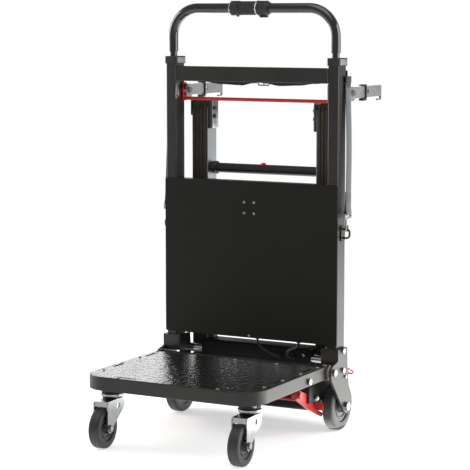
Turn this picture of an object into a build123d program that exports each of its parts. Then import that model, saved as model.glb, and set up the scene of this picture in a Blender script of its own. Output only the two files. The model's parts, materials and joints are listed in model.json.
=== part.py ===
from build123d import *
import math
import os

# Stair climbing hand truck: a tube frame on two fixed rear wheels, with a folding platform on casters,
# a telescopic handle and a pair of rubber tracks that swing out behind the frame.
# Millimetres, +X to the right, +Y to the rear, +Z up, origin on the floor under the middle of the truck.

# Driving dimensions of the frame
FRONT = 88.6               # Y of the uprights' front face
UPRIGHT_X = 231.0          # centre of each upright
UPRIGHT_W = 28.0
UPRIGHT_D = 47.0
TUBE_WALL = 2.0
UPRIGHT_FOOT = 177.0
UPRIGHT_TOP = 932.0
CROSSBAR_Z = (876.0, 914.0)
CROSSBAR_D = 20.0
COLLAR_Z = (920.0, 939.0)
COLLAR_X = (214.5, 248.0)
COLLAR_Y = (FRONT - 2.0, FRONT + 50.0)

# Front panel and the sheet housing behind it
PANEL_HALF_W = 247.0
PANEL_Z = (223.0, 625.0)
PANEL_DEPTH = 4.0
SHEET = 1.5
HOUSING_HALF_W = 216.0
HOUSING_Z = (225.0, 623.0)
HOUSING_REAR = FRONT + 52.0
HOUSING_RADIUS = 6.0
BATTERY_W = 190.0
BATTERY_D = 45.0
BATTERY_H = 150.0
BATTERY_GAP = 6.0
FIN_COUNT = 9

# Rear wheels and the plates that carry them
WHEEL_R = 62.5
WHEEL_Y = FRONT + 42.0
WHEEL_X = (214.0, 243.0)
WHEEL_RIM_R = 45.0
AXLE_R = 6.0
SIDE_PLATE_X = (247.0, 253.0)
INNER_PLATE_X = (204.0, 208.0)
BRACKET_TOP = 214.0
BRACKET_FLOOR = 173.0
BRACKET_FRONT = FRONT - 6.0

# Platform
PLATFORM_HALF_W = 240.0
PLATFORM_FRONT = FRONT - 427.0
PLATFORM_TOP = 179.0
RIM_H = 34.0
RIM_WALL = 3.0
RIM_ROUND = 2.2            # rounded outer edges of the rim
DECK_GAP = 0.8             # between the deck and the rim
DECK_REAR = FRONT - 72.0   # deck's rear edge, ahead of the hinge tube
RIM_CORNER = 60.0
PLATE_T = 3.0
LEDGE_W = 8.0
HINGE_Y = FRONT - 30.0
HINGE_Z = 160.0
HINGE_TUBE_R = 15.0
HINGE_TUBE_HALF = 240.0
SLOT_L = 50.0
SLOT_W = 8.0
SLOT_EDGE = 14.0           # slot's middle line from the platform's edge
CROSS_ROD_Y = FRONT - 145.0
CROSS_ROD_Z = 157.0

# Casters
CASTER_X = 190.0
CASTER_Y = FRONT - 360.0
CASTER_R = 50.0
CASTER_W = 28.0
CASTER_SHOULDER = 5.0
CASTER_TRAIL = 48.0
CASTER_TURN = 3.0          # degrees about the swivel axis, as the wheels stand
CASTER_RIM_R = 36.0
HEAD_LOW = 129.5           # underside of the swivel's upper race
FORK_CROWN = 113.0         # underside of the fork's crown
FORK_X = (17.5, 20.5)      # inner and outer face of a fork's cheek
RACE_R = 28.5

# Handle
LEG_X = UPRIGHT_X
LEG_Y = FRONT + 14.0
LEG_R = 10.0
LEG_FOOT = 500.0
LEG_HEAD = 985.0
HANDLE_R = 12.5
HANDLE_Z = 1061.5          # middle of the grip tube
HANDLE_STEP = 951.0        # where the wide tube ends on the narrow leg
HANDLE_BEND = 72.0
CONTROL_R = 18.5
BUTTON_X = (22.0, 42.0)
BUTTON_TRAVEL = 3.0

# Track unit
TRACK_PIVOT_Y = FRONT + 44.0
TRACK_PIVOT_Z = 175.0
TRACK_PIN_R = 12.0
TRACK_Y = FRONT + 85.0     # middle plane of both tracks
TRACK_LOW_Z = 68.0         # drive pulley centre
TRACK_HIGH_Z = 799.0       # idler centre
BELT_X = (160.0, 199.5)
BELT_R = 26.0
BELT_T = 7.0
GROOVE_W = 4.0
GROOVE_DEPTH = 2.0
GROOVE_COUNT = 3
RAIL_X = (156.5, 202.5)
RAIL_PLATE = (3.0, 2.5)    # inner and outer plate
RAIL_HALF_D = 23.0
CORE_HALF_D = 18.5
PAD_T = 3.0                # pad under the tensioner's bolts
PULLEY_CLEAR = 0.3
DRIVE_HALF_W = 156.5
DRIVE_Y = (FRONT + 28.0, FRONT + 112.0)
DRIVE_Z = (40.0, 200.0)
DRIVE_WALL = 3.0
DRIVE_SIDE = 6.0
DRIVE_RADIUS = (14.0, 4.0, 32.0)  # bottom, top front and top rear edges
LID_Z = 192.0              # seam of the drive case's lid
LID_SEAM = 1.4             # seam's width and depth
SHAFT_R = 10.0
TRACK_TUBE_Z = 649.0
TRACK_TUBE_R = 12.5

# Rear arms, latch bail, brake and lock pin
ARM_X = (232.5, 237.5)
ARM_PIVOT_Y = FRONT + 87.0
ARM_PIVOT_Z = 850.0
ARM_HALF_H = 14.0
ARM_END = FRONT + 281.1
ARM_CLIP_Y = FRONT + 180.0
BAIL_PIVOT_Y = FRONT + 39.0
BAIL_PIVOT_Z = 860.0
BAIL_BAR_Z = 830.0
BRAKE_PIVOT_Y = FRONT - 44.0
BRAKE_PIVOT_Z = 95.0
BRAKE_X = (196.5, 201.5)
LOCK_X = 239.0
LOCK_Z = 147.0
LOCK_RING_DROP = 45.0      # degrees below level that the pull ring hangs

# Strap
STRAP_W = 30.0
STRAP_T = 2.4
STRAP_TOP = (249.5, FRONT + 48.5, 893.0)
STRAP_FOOT = (258.0, FRONT + 32.0, 556.0)
EYE_Y = FRONT + 29.0
EYE_Z = (492.0, 514.0)
EYE_REACH = 268.0

RUN = 0.05                 # radial clearance of a running fit


def block(x, y, z):
    """Box between pairs of limits."""
    size = Box(x[1] - x[0], y[1] - y[0], z[1] - z[0])
    return Pos((x[0] + x[1]) / 2, (y[0] + y[1]) / 2, (z[0] + z[1]) / 2) * size


def rod_x(radius, x, y, z):
    """Round bar along X between two limits."""
    return Pos((x[0] + x[1]) / 2, y, z) * Rot(0, 90, 0) * Cylinder(radius, x[1] - x[0])


def rod_y(radius, x, y, z):
    """Round bar along Y between two limits."""
    return Pos(x, (y[0] + y[1]) / 2, z) * Rot(90, 0, 0) * Cylinder(radius, y[1] - y[0])


def rod_z(radius, x, y, z):
    """Round bar along Z between two limits."""
    return Pos(x, y, (z[0] + z[1]) / 2) * Cylinder(radius, z[1] - z[0])


def hex_x(flats, x, y, z):
    """Hexagon head along X, measured across its flats."""
    sketch = RegularPolygon(flats / 2, 6, major_radius=False)
    return extrude(Plane.YZ.offset(x[0]) * (Pos(y, z) * sketch), amount=x[1] - x[0])


def plate_x(points, x, radius):
    """Plate with a rounded outline in Y and Z, standing between two X limits."""
    outline = make_face(Polyline(*points, close=True))
    outline = fillet(outline.vertices(), radius)
    return extrude(Plane.YZ.offset(x[0]) * outline, amount=x[1] - x[0])


def at_front(points):
    """Outline points whose Y is counted from the uprights' front face."""
    return [(FRONT + y, z) for y, z in points]


def lathe_x(profile, y, z):
    """Solid turned about an axis along X, from (X, radius) points."""
    outline = make_face(Polyline(*profile, close=True))
    return Pos(0, y, z) * revolve(outline, Axis.X)


def left(shape):
    """Mirror image on the left side."""
    return mirror(shape, Plane.YZ)


def pair(shape):
    """The right piece and its left mirror image."""
    return Compound([shape, left(shape)])


def wire(points, radii, radius):
    """Round bar swept along straight runs joined by tangent arcs."""
    path = FilletPolyline(*points, radius=radii)
    section = Plane(origin=path @ 0, z_dir=path % 0) * Circle(radius)
    return sweep(section, path)


# Frame

def upright():
    section = RectangleRounded(UPRIGHT_W, UPRIGHT_D, 3)
    section -= RectangleRounded(UPRIGHT_W - 2 * TUBE_WALL, UPRIGHT_D - 2 * TUBE_WALL, 1.5)
    tube = extrude(section, amount=UPRIGHT_TOP - UPRIGHT_FOOT)
    return Pos(UPRIGHT_X, FRONT + UPRIGHT_D / 2, UPRIGHT_FOOT) * tube


def crossbar():
    inner = UPRIGHT_X - UPRIGHT_W / 2
    height = CROSSBAR_Z[1] - CROSSBAR_Z[0]
    section = RectangleRounded(CROSSBAR_D, height, 2.5)
    section -= RectangleRounded(CROSSBAR_D - 2 * TUBE_WALL, height - 2 * TUBE_WALL, 1)
    centre = Pos(FRONT + CROSSBAR_D / 2, sum(CROSSBAR_Z) / 2)
    return extrude(Plane.YZ.offset(-inner) * (centre * section), amount=2 * inner)


def front_panel():
    """Shallow tray of folded sheet that closes the housing's front."""
    height = PANEL_Z[1] - PANEL_Z[0]
    middle = Pos(0, FRONT, sum(PANEL_Z) / 2)
    outside = RectangleRounded(2 * PANEL_HALF_W, height, 4)
    inside = RectangleRounded(2 * (PANEL_HALF_W - SHEET), height - 2 * SHEET, 3)
    tray = extrude(middle * (Plane.XZ * outside), amount=PANEL_DEPTH)
    tray -= extrude(middle * (Plane.XZ * inside), amount=PANEL_DEPTH - SHEET)
    edges = tray.faces().sort_by(Axis.Y)[0].outer_wire().edges()
    return fillet(edges, 1.2)


def body_housing():
    """Five sided box behind the panel, open to the front."""
    front = FRONT - PANEL_DEPTH + SHEET
    outer = block((-HOUSING_HALF_W, HOUSING_HALF_W), (front, HOUSING_REAR), HOUSING_Z)
    outer = fillet(outer.faces().sort_by(Axis.Y)[-1].edges(), HOUSING_RADIUS)
    width = HOUSING_HALF_W - SHEET
    height = (HOUSING_Z[0] + SHEET, HOUSING_Z[1] - SHEET)
    inner = block((-width, width), (front - 1, HOUSING_REAR - SHEET), height)
    inner = fillet(inner.faces().sort_by(Axis.Y)[-1].edges(), HOUSING_RADIUS - SHEET)
    return outer - inner


def batteries():
    """Two sealed packs with a lid step and terminal posts, standing on the housing's floor."""
    floor = HOUSING_Z[0] + SHEET
    x = (BATTERY_GAP, BATTERY_GAP + BATTERY_W)
    y = (FRONT + 0.5, FRONT + 0.5 + BATTERY_D)
    case = block(x, y, (floor, floor + BATTERY_H - 8))
    case += block((x[0] + 3, x[1] - 3), (y[0] + 3, y[1] - 3), (floor + BATTERY_H - 8, floor + BATTERY_H))
    for post in (x[0] + 25, x[1] - 25):
        case += rod_z(5, post, sum(y) / 2, (floor + BATTERY_H, floor + BATTERY_H + 7))
    return pair(case)


def controller():
    """Motor controller on a finned plate against the housing's back."""
    back = HOUSING_REAR - SHEET
    body = block((-75, 75), (back - 8, back), (430, 560))
    pitch = 150 / FIN_COUNT
    for index in range(FIN_COUNT):
        middle = -75 + pitch * (index + 0.5)
        body += block((middle - 1.5, middle + 1.5), (back - 30, back - 8), (434, 556))
    return body


def base_bracket():
    """Folded bracket round an upright's foot, with an inner wall down to the wheel axle and brake pivot."""
    wall = plate_x(
        at_front([(0, BRACKET_TOP), (50, BRACKET_TOP), (56, 120), (66, 80), (64, 50), (48, 40), (28, 44),
                  (4, 66), (-8, 84), (-77, 85), (-77, 126), (-10, 138), (0, 150)]),
        INNER_PLATE_X, 3)
    edge = SIDE_PLATE_X[0]
    flange = block((INNER_PLATE_X[0], edge), (BRACKET_FRONT, FRONT), (BRACKET_FLOOR, BRACKET_TOP))
    flange = fillet(flange.edges().filter_by(Axis.Z).group_by(Axis.X)[0].sort_by(Axis.Y)[0], 3)
    depth = (FRONT, FRONT + 50)
    floor = block((INNER_PLATE_X[1], edge), depth, (BRACKET_FLOOR, UPRIGHT_FOOT))
    cheek = block((UPRIGHT_X + UPRIGHT_W / 2, edge), depth, (BRACKET_FLOOR, BRACKET_TOP - 4))
    bracket = wall + flange + floor + cheek
    inside, outside = INNER_PLATE_X[0] - 1, INNER_PLATE_X[1] + 1
    bracket -= rod_x(AXLE_R, (inside, outside), WHEEL_Y, WHEEL_R)
    bracket -= rod_x(5, (inside, outside), BRAKE_PIVOT_Y, BRAKE_PIVOT_Z)
    return bracket - rod_x(TRACK_PIN_R, (inside, INNER_PLATE_X[1]), TRACK_PIVOT_Y, TRACK_PIVOT_Z)


def lock_guide(bracket):
    """The right bracket with the block that guides the lock pin under its floor."""
    depth = (FRONT, FRONT + 46)
    bracket += block((LOCK_X - 9, SIDE_PLATE_X[0]), depth, (LOCK_Z - 7, BRACKET_FLOOR))
    return bracket - rod_y(4 + RUN, LOCK_X, (depth[0] - 1, depth[1] + 1), LOCK_Z)


# Side bolts: Y from the uprights' front face, Z, shank radius, flats and head height
SIDE_BOLTS = [(20.0, 207.0, 4.0, 13.0, 5.3), (20.0, 158.0, 4.0, 13.0, 5.3), (36.0, 138.5, 3.0, 8.0, 3.6)]


def side_plate():
    """Outer plate from the upright's foot to the platform pivot and the wheel axle."""
    outline = at_front([(-6, BRACKET_TOP), (49.5, BRACKET_TOP), (50.5, 172), (58.5, 115), (77, 84), (79, 62),
                        (65, 46), (44, 43), (28, 54), (-44, 143), (-47, 164), (-36, 177), (-6, 184)])
    plate = plate_x(outline, SIDE_PLATE_X, 5)
    through = (SIDE_PLATE_X[0] - 1, SIDE_PLATE_X[1] + 1)
    plate -= rod_x(AXLE_R, through, WHEEL_Y, WHEEL_R)
    plate -= rod_x(AXLE_R, through, HINGE_Y, HINGE_Z)
    for y, z, radius, _, _ in SIDE_BOLTS:
        plate -= rod_x(radius, through, FRONT + y, z)
    return plate


def collar():
    """Moulded cap on an upright's top that guides the handle's leg."""
    cap = block(COLLAR_X, COLLAR_Y, COLLAR_Z)
    cap = fillet(cap.edges().filter_by(Axis.Z), 4)
    cap = fillet(cap.faces().sort_by(Axis.Z)[-1].edges(), 1.5)
    seat = extrude(RectangleRounded(UPRIGHT_W, UPRIGHT_D, 3), amount=UPRIGHT_TOP - COLLAR_Z[0])
    cap -= Pos(UPRIGHT_X, FRONT + UPRIGHT_D / 2, COLLAR_Z[0]) * seat
    return cap - rod_z(LEG_R + RUN, LEG_X, LEG_Y, COLLAR_Z)


def frame_bolts():
    """Bolts, axles and pivots of the right side."""
    face = SIDE_PLATE_X
    bolts = []
    for y, z, radius, flats, head in SIDE_BOLTS:
        bolt = rod_x(radius, face, FRONT + y, z)
        bolts.append(bolt + hex_x(flats, (face[1], face[1] + head), FRONT + y, z))
    axle = rod_x(AXLE_R, (INNER_PLATE_X[0], face[1]), WHEEL_Y, WHEEL_R)
    bolts.append(axle + hex_x(19, (face[1], face[1] + 7.5), WHEEL_Y, WHEEL_R))
    hinge = rod_x(AXLE_R, (HINGE_TUBE_HALF - 16, face[1]), HINGE_Y, HINGE_Z)
    bolts.append(hinge + hex_x(16, (face[1], face[1] + 5.5), HINGE_Y, HINGE_Z))
    washer = (HINGE_TUBE_HALF + 5.2, face[0] - 0.2)
    ring = rod_x(14, washer, HINGE_Y, HINGE_Z) - rod_x(AXLE_R, washer, HINGE_Y, HINGE_Z)
    bolts.append(ring)
    brake = rod_x(5, (BRAKE_X[0] - 1.5, INNER_PLATE_X[1]), BRAKE_PIVOT_Y, BRAKE_PIVOT_Z)
    brake += hex_x(16, (INNER_PLATE_X[1], INNER_PLATE_X[1] + 5), BRAKE_PIVOT_Y, BRAKE_PIVOT_Z)
    bolts.append(brake + rod_x(8, (BRAKE_X[0] - 6, BRAKE_X[0] - 1.5), BRAKE_PIVOT_Y, BRAKE_PIVOT_Z))
    wall = UPRIGHT_X - UPRIGHT_W / 2
    bail = rod_x(4, (wall - 6.5, wall), BAIL_PIVOT_Y, BAIL_PIVOT_Z)
    bolts.append(bail + rod_x(6.5, (wall - 11, wall - 6.5), BAIL_PIVOT_Y, BAIL_PIVOT_Z))
    arm = rod_x(5, (226, 244), ARM_PIVOT_Y, ARM_PIVOT_Z)
    arm += hex_x(15, (221, 226), ARM_PIVOT_Y, ARM_PIVOT_Z)
    bolts.append(arm + hex_x(15, (244, 249), ARM_PIVOT_Y, ARM_PIVOT_Z))
    return bolts


def pivot_pin():
    """Chromed pin that the track unit swings on."""
    ends = (DRIVE_HALF_W - 10, INNER_PLATE_X[1])
    pin = rod_x(TRACK_PIN_R, ends, TRACK_PIVOT_Y, TRACK_PIVOT_Z)
    return chamfer(pin.edges().sort_by(Axis.X)[0], 1)


# Strap across the back, with its hooks

def strap_fittings():
    """Wire eye on a plate, and the keeper that holds the strap behind the upright."""
    wall = UPRIGHT_X + UPRIGHT_W / 2
    plate = block((wall, wall + 3), (EYE_Y - 11, EYE_Y + 11), (EYE_Z[0] - 8, EYE_Z[1] + 8))
    plate = fillet(plate.edges().filter_by(Axis.X), 4)
    reach = EYE_REACH - 2.5
    eye = wire([(wall + 3, EYE_Y, EYE_Z[1]), (reach, EYE_Y, EYE_Z[1]), (reach, EYE_Y, EYE_Z[0]),
                (wall + 3, EYE_Y, EYE_Z[0])], 8, 2.5)
    rear = FRONT + UPRIGHT_D
    keeper = block((UPRIGHT_X - 9, UPRIGHT_X + 9), (rear, rear + 3), (877, 909))
    keeper = fillet(keeper.edges().filter_by(Axis.Y), 3)
    return [plate + eye, keeper]


def snap_hook():
    """Flat frame for the webbing with a bent hook below it."""
    x, y, z = STRAP_FOOT
    low = z - 16
    frame = block((x - 2.5, x + 2.5), (y - 20, y + 20), (low, z - 1.4))
    frame = fillet(frame.edges().filter_by(Axis.X), 4)
    frame -= block((x - 3, x + 3), (y - 15.5, y + 15.5), (low + 5, z - 5))
    bend = 5.1
    hook = wire([(x, EYE_Y - bend, low + 2), (x, EYE_Y - bend, EYE_Z[1] - bend),
                 (x, EYE_Y + bend, EYE_Z[1] - bend), (x, EYE_Y + bend, EYE_Z[1] + 10)], bend - 0.01, 2.5)
    return frame + hook


def strap():
    """Webbing from the keeper down to the snap hook."""
    top = Vector(*STRAP_TOP)
    run = Vector(*STRAP_FOOT) - top
    section = Plane(origin=top, x_dir=(0, 1, 0), z_dir=run) * Rectangle(STRAP_W, STRAP_T)
    return extrude(section, amount=run.length)


def rear_belt():
    """The same webbing across the back, sagging between the uprights."""
    end = STRAP_TOP[0] - STRAP_T / 2 - 0.2
    half = STRAP_W / 2
    mid, sag = STRAP_TOP[2], 15.0
    upper = ThreePointArc((-end, mid + half), (0, mid + half - sag), (end, mid + half))
    lower = ThreePointArc((end, mid - half), (0, mid - half - sag), (-end, mid - half))
    outline = make_face([upper, Line(upper @ 1, lower @ 0), lower, Line(lower @ 1, upper @ 0)])
    rear = FRONT + UPRIGHT_D + 3
    return extrude(Pos(0, rear + STRAP_T, 0) * (Plane.XZ * outline), amount=STRAP_T)


# Handle

def handle_tube():
    """Wide tube bent to a U, seated on the two narrow legs."""
    path = FilletPolyline((-LEG_X, LEG_Y, HANDLE_STEP), (-LEG_X, LEG_Y, HANDLE_Z), (LEG_X, LEG_Y, HANDLE_Z),
                          (LEG_X, LEG_Y, HANDLE_STEP), radius=HANDLE_BEND)
    plane = Plane(origin=path @ 0, z_dir=path % 0)
    return sweep(plane * (Circle(HANDLE_R) - Circle(LEG_R)), path)


def handle_leg():
    ends = (LEG_FOOT, LEG_HEAD)
    return rod_z(LEG_R, LEG_X, LEG_Y, ends) - rod_z(LEG_R - TUBE_WALL, LEG_X, LEG_Y, ends)


def leg_guide():
    """Plastic shoe that runs inside the upright."""
    gap = TUBE_WALL + 0.3
    x = (UPRIGHT_X - UPRIGHT_W / 2 + gap, UPRIGHT_X + UPRIGHT_W / 2 - gap)
    y = (FRONT + gap, FRONT + UPRIGHT_D - gap)
    shoe = block(x, y, (LEG_FOOT, LEG_FOOT + 30))
    shoe = fillet(shoe.edges().filter_by(Axis.Z), 1.5)
    return shoe - rod_z(LEG_R, LEG_X, LEG_Y, (LEG_FOOT, LEG_FOOT + 30))


def control_clamps():
    """Clamps on both sides of the twist barrel; the right one ends in a ribbed cone and holds the button."""
    bore = HANDLE_R
    plain = lathe_x([(-59, bore), (-59, CONTROL_R - 1.5), (-57.5, CONTROL_R), (-36.5, CONTROL_R),
                     (-35.5, CONTROL_R - 1), (-35.5, bore)], LEG_Y, HANDLE_Z)
    cone = lathe_x([(14, bore), (14, CONTROL_R - 1), (15, CONTROL_R), (42.5, CONTROL_R),
                    (44, CONTROL_R - 2.5), (50.5, bore + 1.5), (50.5, bore)], LEG_Y, HANDLE_Z)
    flute = Pos(48, LEG_Y, HANDLE_Z)
    for turn in range(10):
        cone -= flute * Rot(turn * 36, 0, 0) * Pos(0, 0, CONTROL_R - 0.5) * Rot(0, 90, 0) * Cylinder(2.4, 9)
    opening = (BUTTON_X[0] - 0.3, BUTTON_X[1] + 0.3)
    cone -= block(opening, (LEG_Y - 5.3, LEG_Y + 5.3), (HANDLE_Z - 20, HANDLE_Z - bore))
    return [plain, cone]


def control_barrel():
    """Twist barrel between the clamps, with finger flutes."""
    bore = HANDLE_R + RUN
    barrel = lathe_x([(-35.2, bore), (-35.2, 16.5), (-34, 17.5), (12.5, 17.5), (13.7, 16.5), (13.7, bore)],
                     LEG_Y, HANDLE_Z)
    for turn in range(12):
        cut = Rot(turn * 30, 0, 0) * Pos(-10.75, 0, 19.2) * Rot(0, 90, 0) * Cylinder(2.6, 36)
        barrel -= Pos(0, LEG_Y, HANDLE_Z) * cut
    return barrel


def drive_button():
    low = HANDLE_Z - CONTROL_R - 5
    button = block(BUTTON_X, (LEG_Y - 5, LEG_Y + 5), (low, HANDLE_Z - HANDLE_R - BUTTON_TRAVEL - 0.5))
    return fillet(button.faces().sort_by(Axis.Z)[0].edges(), 1.5)


# Platform

def platform_outline(inset, rear):
    """Platform's outline in plan, moved in by a distance, with round front corners."""
    half = PLATFORM_HALF_W - inset
    front = PLATFORM_FRONT + inset
    sketch = Pos(0, (front + rear) / 2) * Rectangle(2 * half, rear - front)
    corners = sketch.vertices().group_by(Axis.Y)[0]
    return fillet(corners, RIM_CORNER - inset)


def platform_rim():
    """Bent rim, coped on the hinge tube, with an inner ledge under the plate."""
    low = PLATFORM_TOP - RIM_H
    band = extrude(platform_outline(0, HINGE_Y), amount=RIM_H)
    rounded = ShapeList()
    for face in (band.faces().sort_by(Axis.Z)[0], band.faces().sort_by(Axis.Z)[-1]):
        rounded += face.edges().sort_by(Axis.Y)[:-1]
    band = fillet(rounded, RIM_ROUND) - extrude(platform_outline(RIM_WALL, HINGE_Y + 10), amount=RIM_H)
    ledge = platform_outline(RIM_WALL, DECK_REAR) - platform_outline(RIM_WALL + LEDGE_W, HINGE_Y)
    rim = Pos(0, 0, low) * band
    rim += Pos(0, 0, PLATFORM_TOP - 2 * PLATE_T) * extrude(ledge, amount=PLATE_T)
    rim -= rod_x(HINGE_TUBE_R, (-HINGE_TUBE_HALF, HINGE_TUBE_HALF), HINGE_Y, HINGE_Z)
    return rim - rod_x(4, (-PLATFORM_HALF_W, PLATFORM_HALF_W), CROSS_ROD_Y, CROSS_ROD_Z)


def platform_plate():
    """Flat deck with slots for tie straps along three edges."""
    deck = extrude(platform_outline(RIM_WALL + DECK_GAP, DECK_REAR), amount=PLATE_T)
    side = PLATFORM_HALF_W - SLOT_EDGE - RIM_WALL
    slot = extrude(SlotOverall(SLOT_L, SLOT_W, rotation=90), amount=PLATE_T)
    for x in (-side, side):
        for y in (FRONT - 277, FRONT - 121):
            deck -= Pos(x, y, 0) * slot
    slot = extrude(SlotOverall(SLOT_L, SLOT_W), amount=PLATE_T)
    for x in (-115, 115):
        deck -= Pos(x, PLATFORM_FRONT + SLOT_EDGE + RIM_WALL, 0) * slot
    return Pos(0, 0, PLATFORM_TOP - PLATE_T) * deck


def hinge_tube():
    ends = (-HINGE_TUBE_HALF, HINGE_TUBE_HALF)
    return rod_x(HINGE_TUBE_R, ends, HINGE_Y, HINGE_Z) - rod_x(HINGE_TUBE_R - 3, ends, HINGE_Y, HINGE_Z)


def hinge_bush():
    """Flanged bush in the end of the hinge tube."""
    start, face = HINGE_TUBE_HALF - 18, HINGE_TUBE_HALF
    bore = AXLE_R + RUN
    profile = [(start, bore), (start, HINGE_TUBE_R - 3), (face, HINGE_TUBE_R - 3), (face, HINGE_TUBE_R),
               (face + 5, HINGE_TUBE_R), (face + 5, bore)]
    return lathe_x(profile, HINGE_Y, HINGE_Z)


def cross_rod():
    """Stiffening rod bolted through both sides of the rim."""
    inner, outer = PLATFORM_HALF_W - RIM_WALL, PLATFORM_HALF_W
    rod = rod_x(7, (-inner, inner), CROSS_ROD_Y, CROSS_ROD_Z)
    rod += rod_x(4, (-outer, outer), CROSS_ROD_Y, CROSS_ROD_Z)
    for ends in ((-outer - 5, -outer), (outer, outer + 5)):
        rod += hex_x(15, ends, CROSS_ROD_Y, CROSS_ROD_Z)
    return rod


def caster_plate():
    """Gusset in the rim's corner that the caster bolts to."""
    low = PLATFORM_TOP - RIM_H
    sheet = extrude(platform_outline(RIM_WALL, HINGE_Y), amount=4)
    corner = block((CASTER_X - 52, PLATFORM_HALF_W), (PLATFORM_FRONT, CASTER_Y + 56), (0, 4))
    return Pos(0, 0, low) * (sheet & corner)


def caster_head():
    """Square flange and moulded upper race of the swivel."""
    top = PLATFORM_TOP - RIM_H
    bore = AXLE_R + RUN
    wide = RACE_R - 1.5
    profile = [(bore, top), (wide - 7, top), (wide - 3, top - 5), (wide, top - 9), (wide, HEAD_LOW + 2.5),
               (wide - 1.5, HEAD_LOW), (bore, HEAD_LOW)]
    race = revolve(Plane.XZ * make_face(Polyline(*profile, close=True)), Axis.Z)
    flange = Pos(0, 0, top - 3) * extrude(RectangleRounded(68, 68, 7), amount=3)
    return Pos(CASTER_X, CASTER_Y, 0) * (race + flange - rod_z(bore, 0, 0, (HEAD_LOW, top)))


# Casters, drawn about the swivel axis with the wheel ahead of it

def caster_fork():
    """Pressed fork with its crown, race on a neck, king pin and wheel bolt."""
    tip = -CASTER_TRAIL
    front, rear = tip - 10, 24
    inner, outer = FORK_X
    leg = [(rear, FORK_CROWN), (front, FORK_CROWN), (front - 2, 56), (tip - 9, 42), (tip, 37), (tip + 9, 41),
           (tip + 18, 54), (rear - 10, 84), (rear, 96)]
    cheek = plate_x(leg, FORK_X, 4)
    crown = block((-outer, outer), (front, rear), (FORK_CROWN, FORK_CROWN + 3))
    fork = cheek + left(cheek) + fillet(crown.edges().filter_by(Axis.Z), 6)
    fork += block((-inner, inner), (front + 1, front + 4), (FORK_CROWN - 10, FORK_CROWN))
    steps = [(0, 3), (22, 3), (22, 7.5), (RACE_R - 1.5, 8), (RACE_R, 9.5)]
    race = [(radius, FORK_CROWN + height) for radius, height in steps]
    race += [(RACE_R, HEAD_LOW - 2), (RACE_R - 1.5, HEAD_LOW - 0.5), (0, HEAD_LOW - 0.5)]
    fork += revolve(Plane.XZ * make_face(Polyline(*race, close=True)), Axis.Z)
    fork += rod_z(AXLE_R, 0, 0, (HEAD_LOW - 0.5, 143))
    fork -= rod_x(7, (-outer - 1, outer + 1), -8, FORK_CROWN - 14)
    fork -= rod_x(5, (-outer - 1, outer + 1), tip, CASTER_R)
    bolt = rod_x(5, (-outer, outer), tip, CASTER_R)
    for ends in ((-outer - 5, -outer), (outer, outer + 5)):
        bolt += hex_x(15, ends, tip, CASTER_R)
    return [fork, bolt]


def tyre(radius, rim, x, shoulder):
    """Solid tyre with round shoulders."""
    ring = rod_x(radius, x, 0, 0)
    ring = fillet(ring.edges(), shoulder)
    return ring - rod_x(rim, x, 0, 0)


def core(rim, hub, bore, x, hub_x):
    """Wheel core with a lipped rim, a raised ring on its web and a hub."""
    dish = 3.5
    ring = (hub + rim) / 2
    depths = [(0.6, rim), (0.6, rim - 3), (dish, rim - 5), (dish, ring + 2.5), (dish - 1.8, ring + 1.5),
              (dish - 1.8, ring - 1.5), (dish, ring - 2.5), (dish, hub + 2)]
    near = [(x[0] + depth, radius) for depth, radius in depths]
    far = [(x[1] - depth, radius) for depth, radius in reversed(depths)]
    ends = [(hub_x[0], hub), (hub_x[0], bore), (hub_x[1], bore), (hub_x[1], hub)]
    return lathe_x(near + ends + far, 0, 0)


def caster_tyre():
    half = CASTER_W / 2
    return Pos(0, -CASTER_TRAIL, CASTER_R) * tyre(CASTER_R, CASTER_RIM_R, (-half, half), CASTER_SHOULDER)


def caster_core():
    half = CASTER_W / 2
    shape = core(CASTER_RIM_R, 12, 5 + RUN, (-half, half), (-16.5, 16.5))
    return Pos(0, -CASTER_TRAIL, CASTER_R) * shape


def caster_place(side):
    """Where a caster stands: +1 right, -1 left."""
    return Pos(side * CASTER_X, CASTER_Y, 0) * Rot(0, 0, CASTER_TURN)


def rear_tyre():
    return Pos(0, WHEEL_Y, WHEEL_R) * tyre(WHEEL_R, WHEEL_RIM_R, WHEEL_X, 7)


def rear_core():
    hub = (INNER_PLATE_X[1] + 1, SIDE_PLATE_X[0] - 1)
    return Pos(0, WHEEL_Y, WHEEL_R) * core(WHEEL_RIM_R, 16, AXLE_R + RUN, WHEEL_X, hub)


# Track unit

def stadium(half, low=TRACK_LOW_Z, high=TRACK_HIGH_Z):
    """Slot outline round both pulley centres, in Y and Z."""
    sketch = SlotCenterToCenter(high - low, 2 * half, rotation=90)
    return Pos(TRACK_Y, (low + high) / 2) * sketch


def ring_x(outer, inner, x):
    """Endless band between two slot outlines."""
    return extrude(Plane.YZ.offset(x[0]) * (stadium(outer) - stadium(inner)), amount=x[1] - x[0])


def track_belt():
    """Endless rubber track with grooves along it."""
    belt = ring_x(BELT_R, BELT_R - BELT_T, BELT_X)
    pitch = (BELT_X[1] - BELT_X[0]) / (GROOVE_COUNT + 1)
    for index in range(GROOVE_COUNT):
        middle = BELT_X[0] + pitch * (index + 1)
        belt -= ring_x(BELT_R + 1, BELT_R - GROOVE_DEPTH, (middle - GROOVE_W / 2, middle + GROOVE_W / 2))
    return belt


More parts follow.
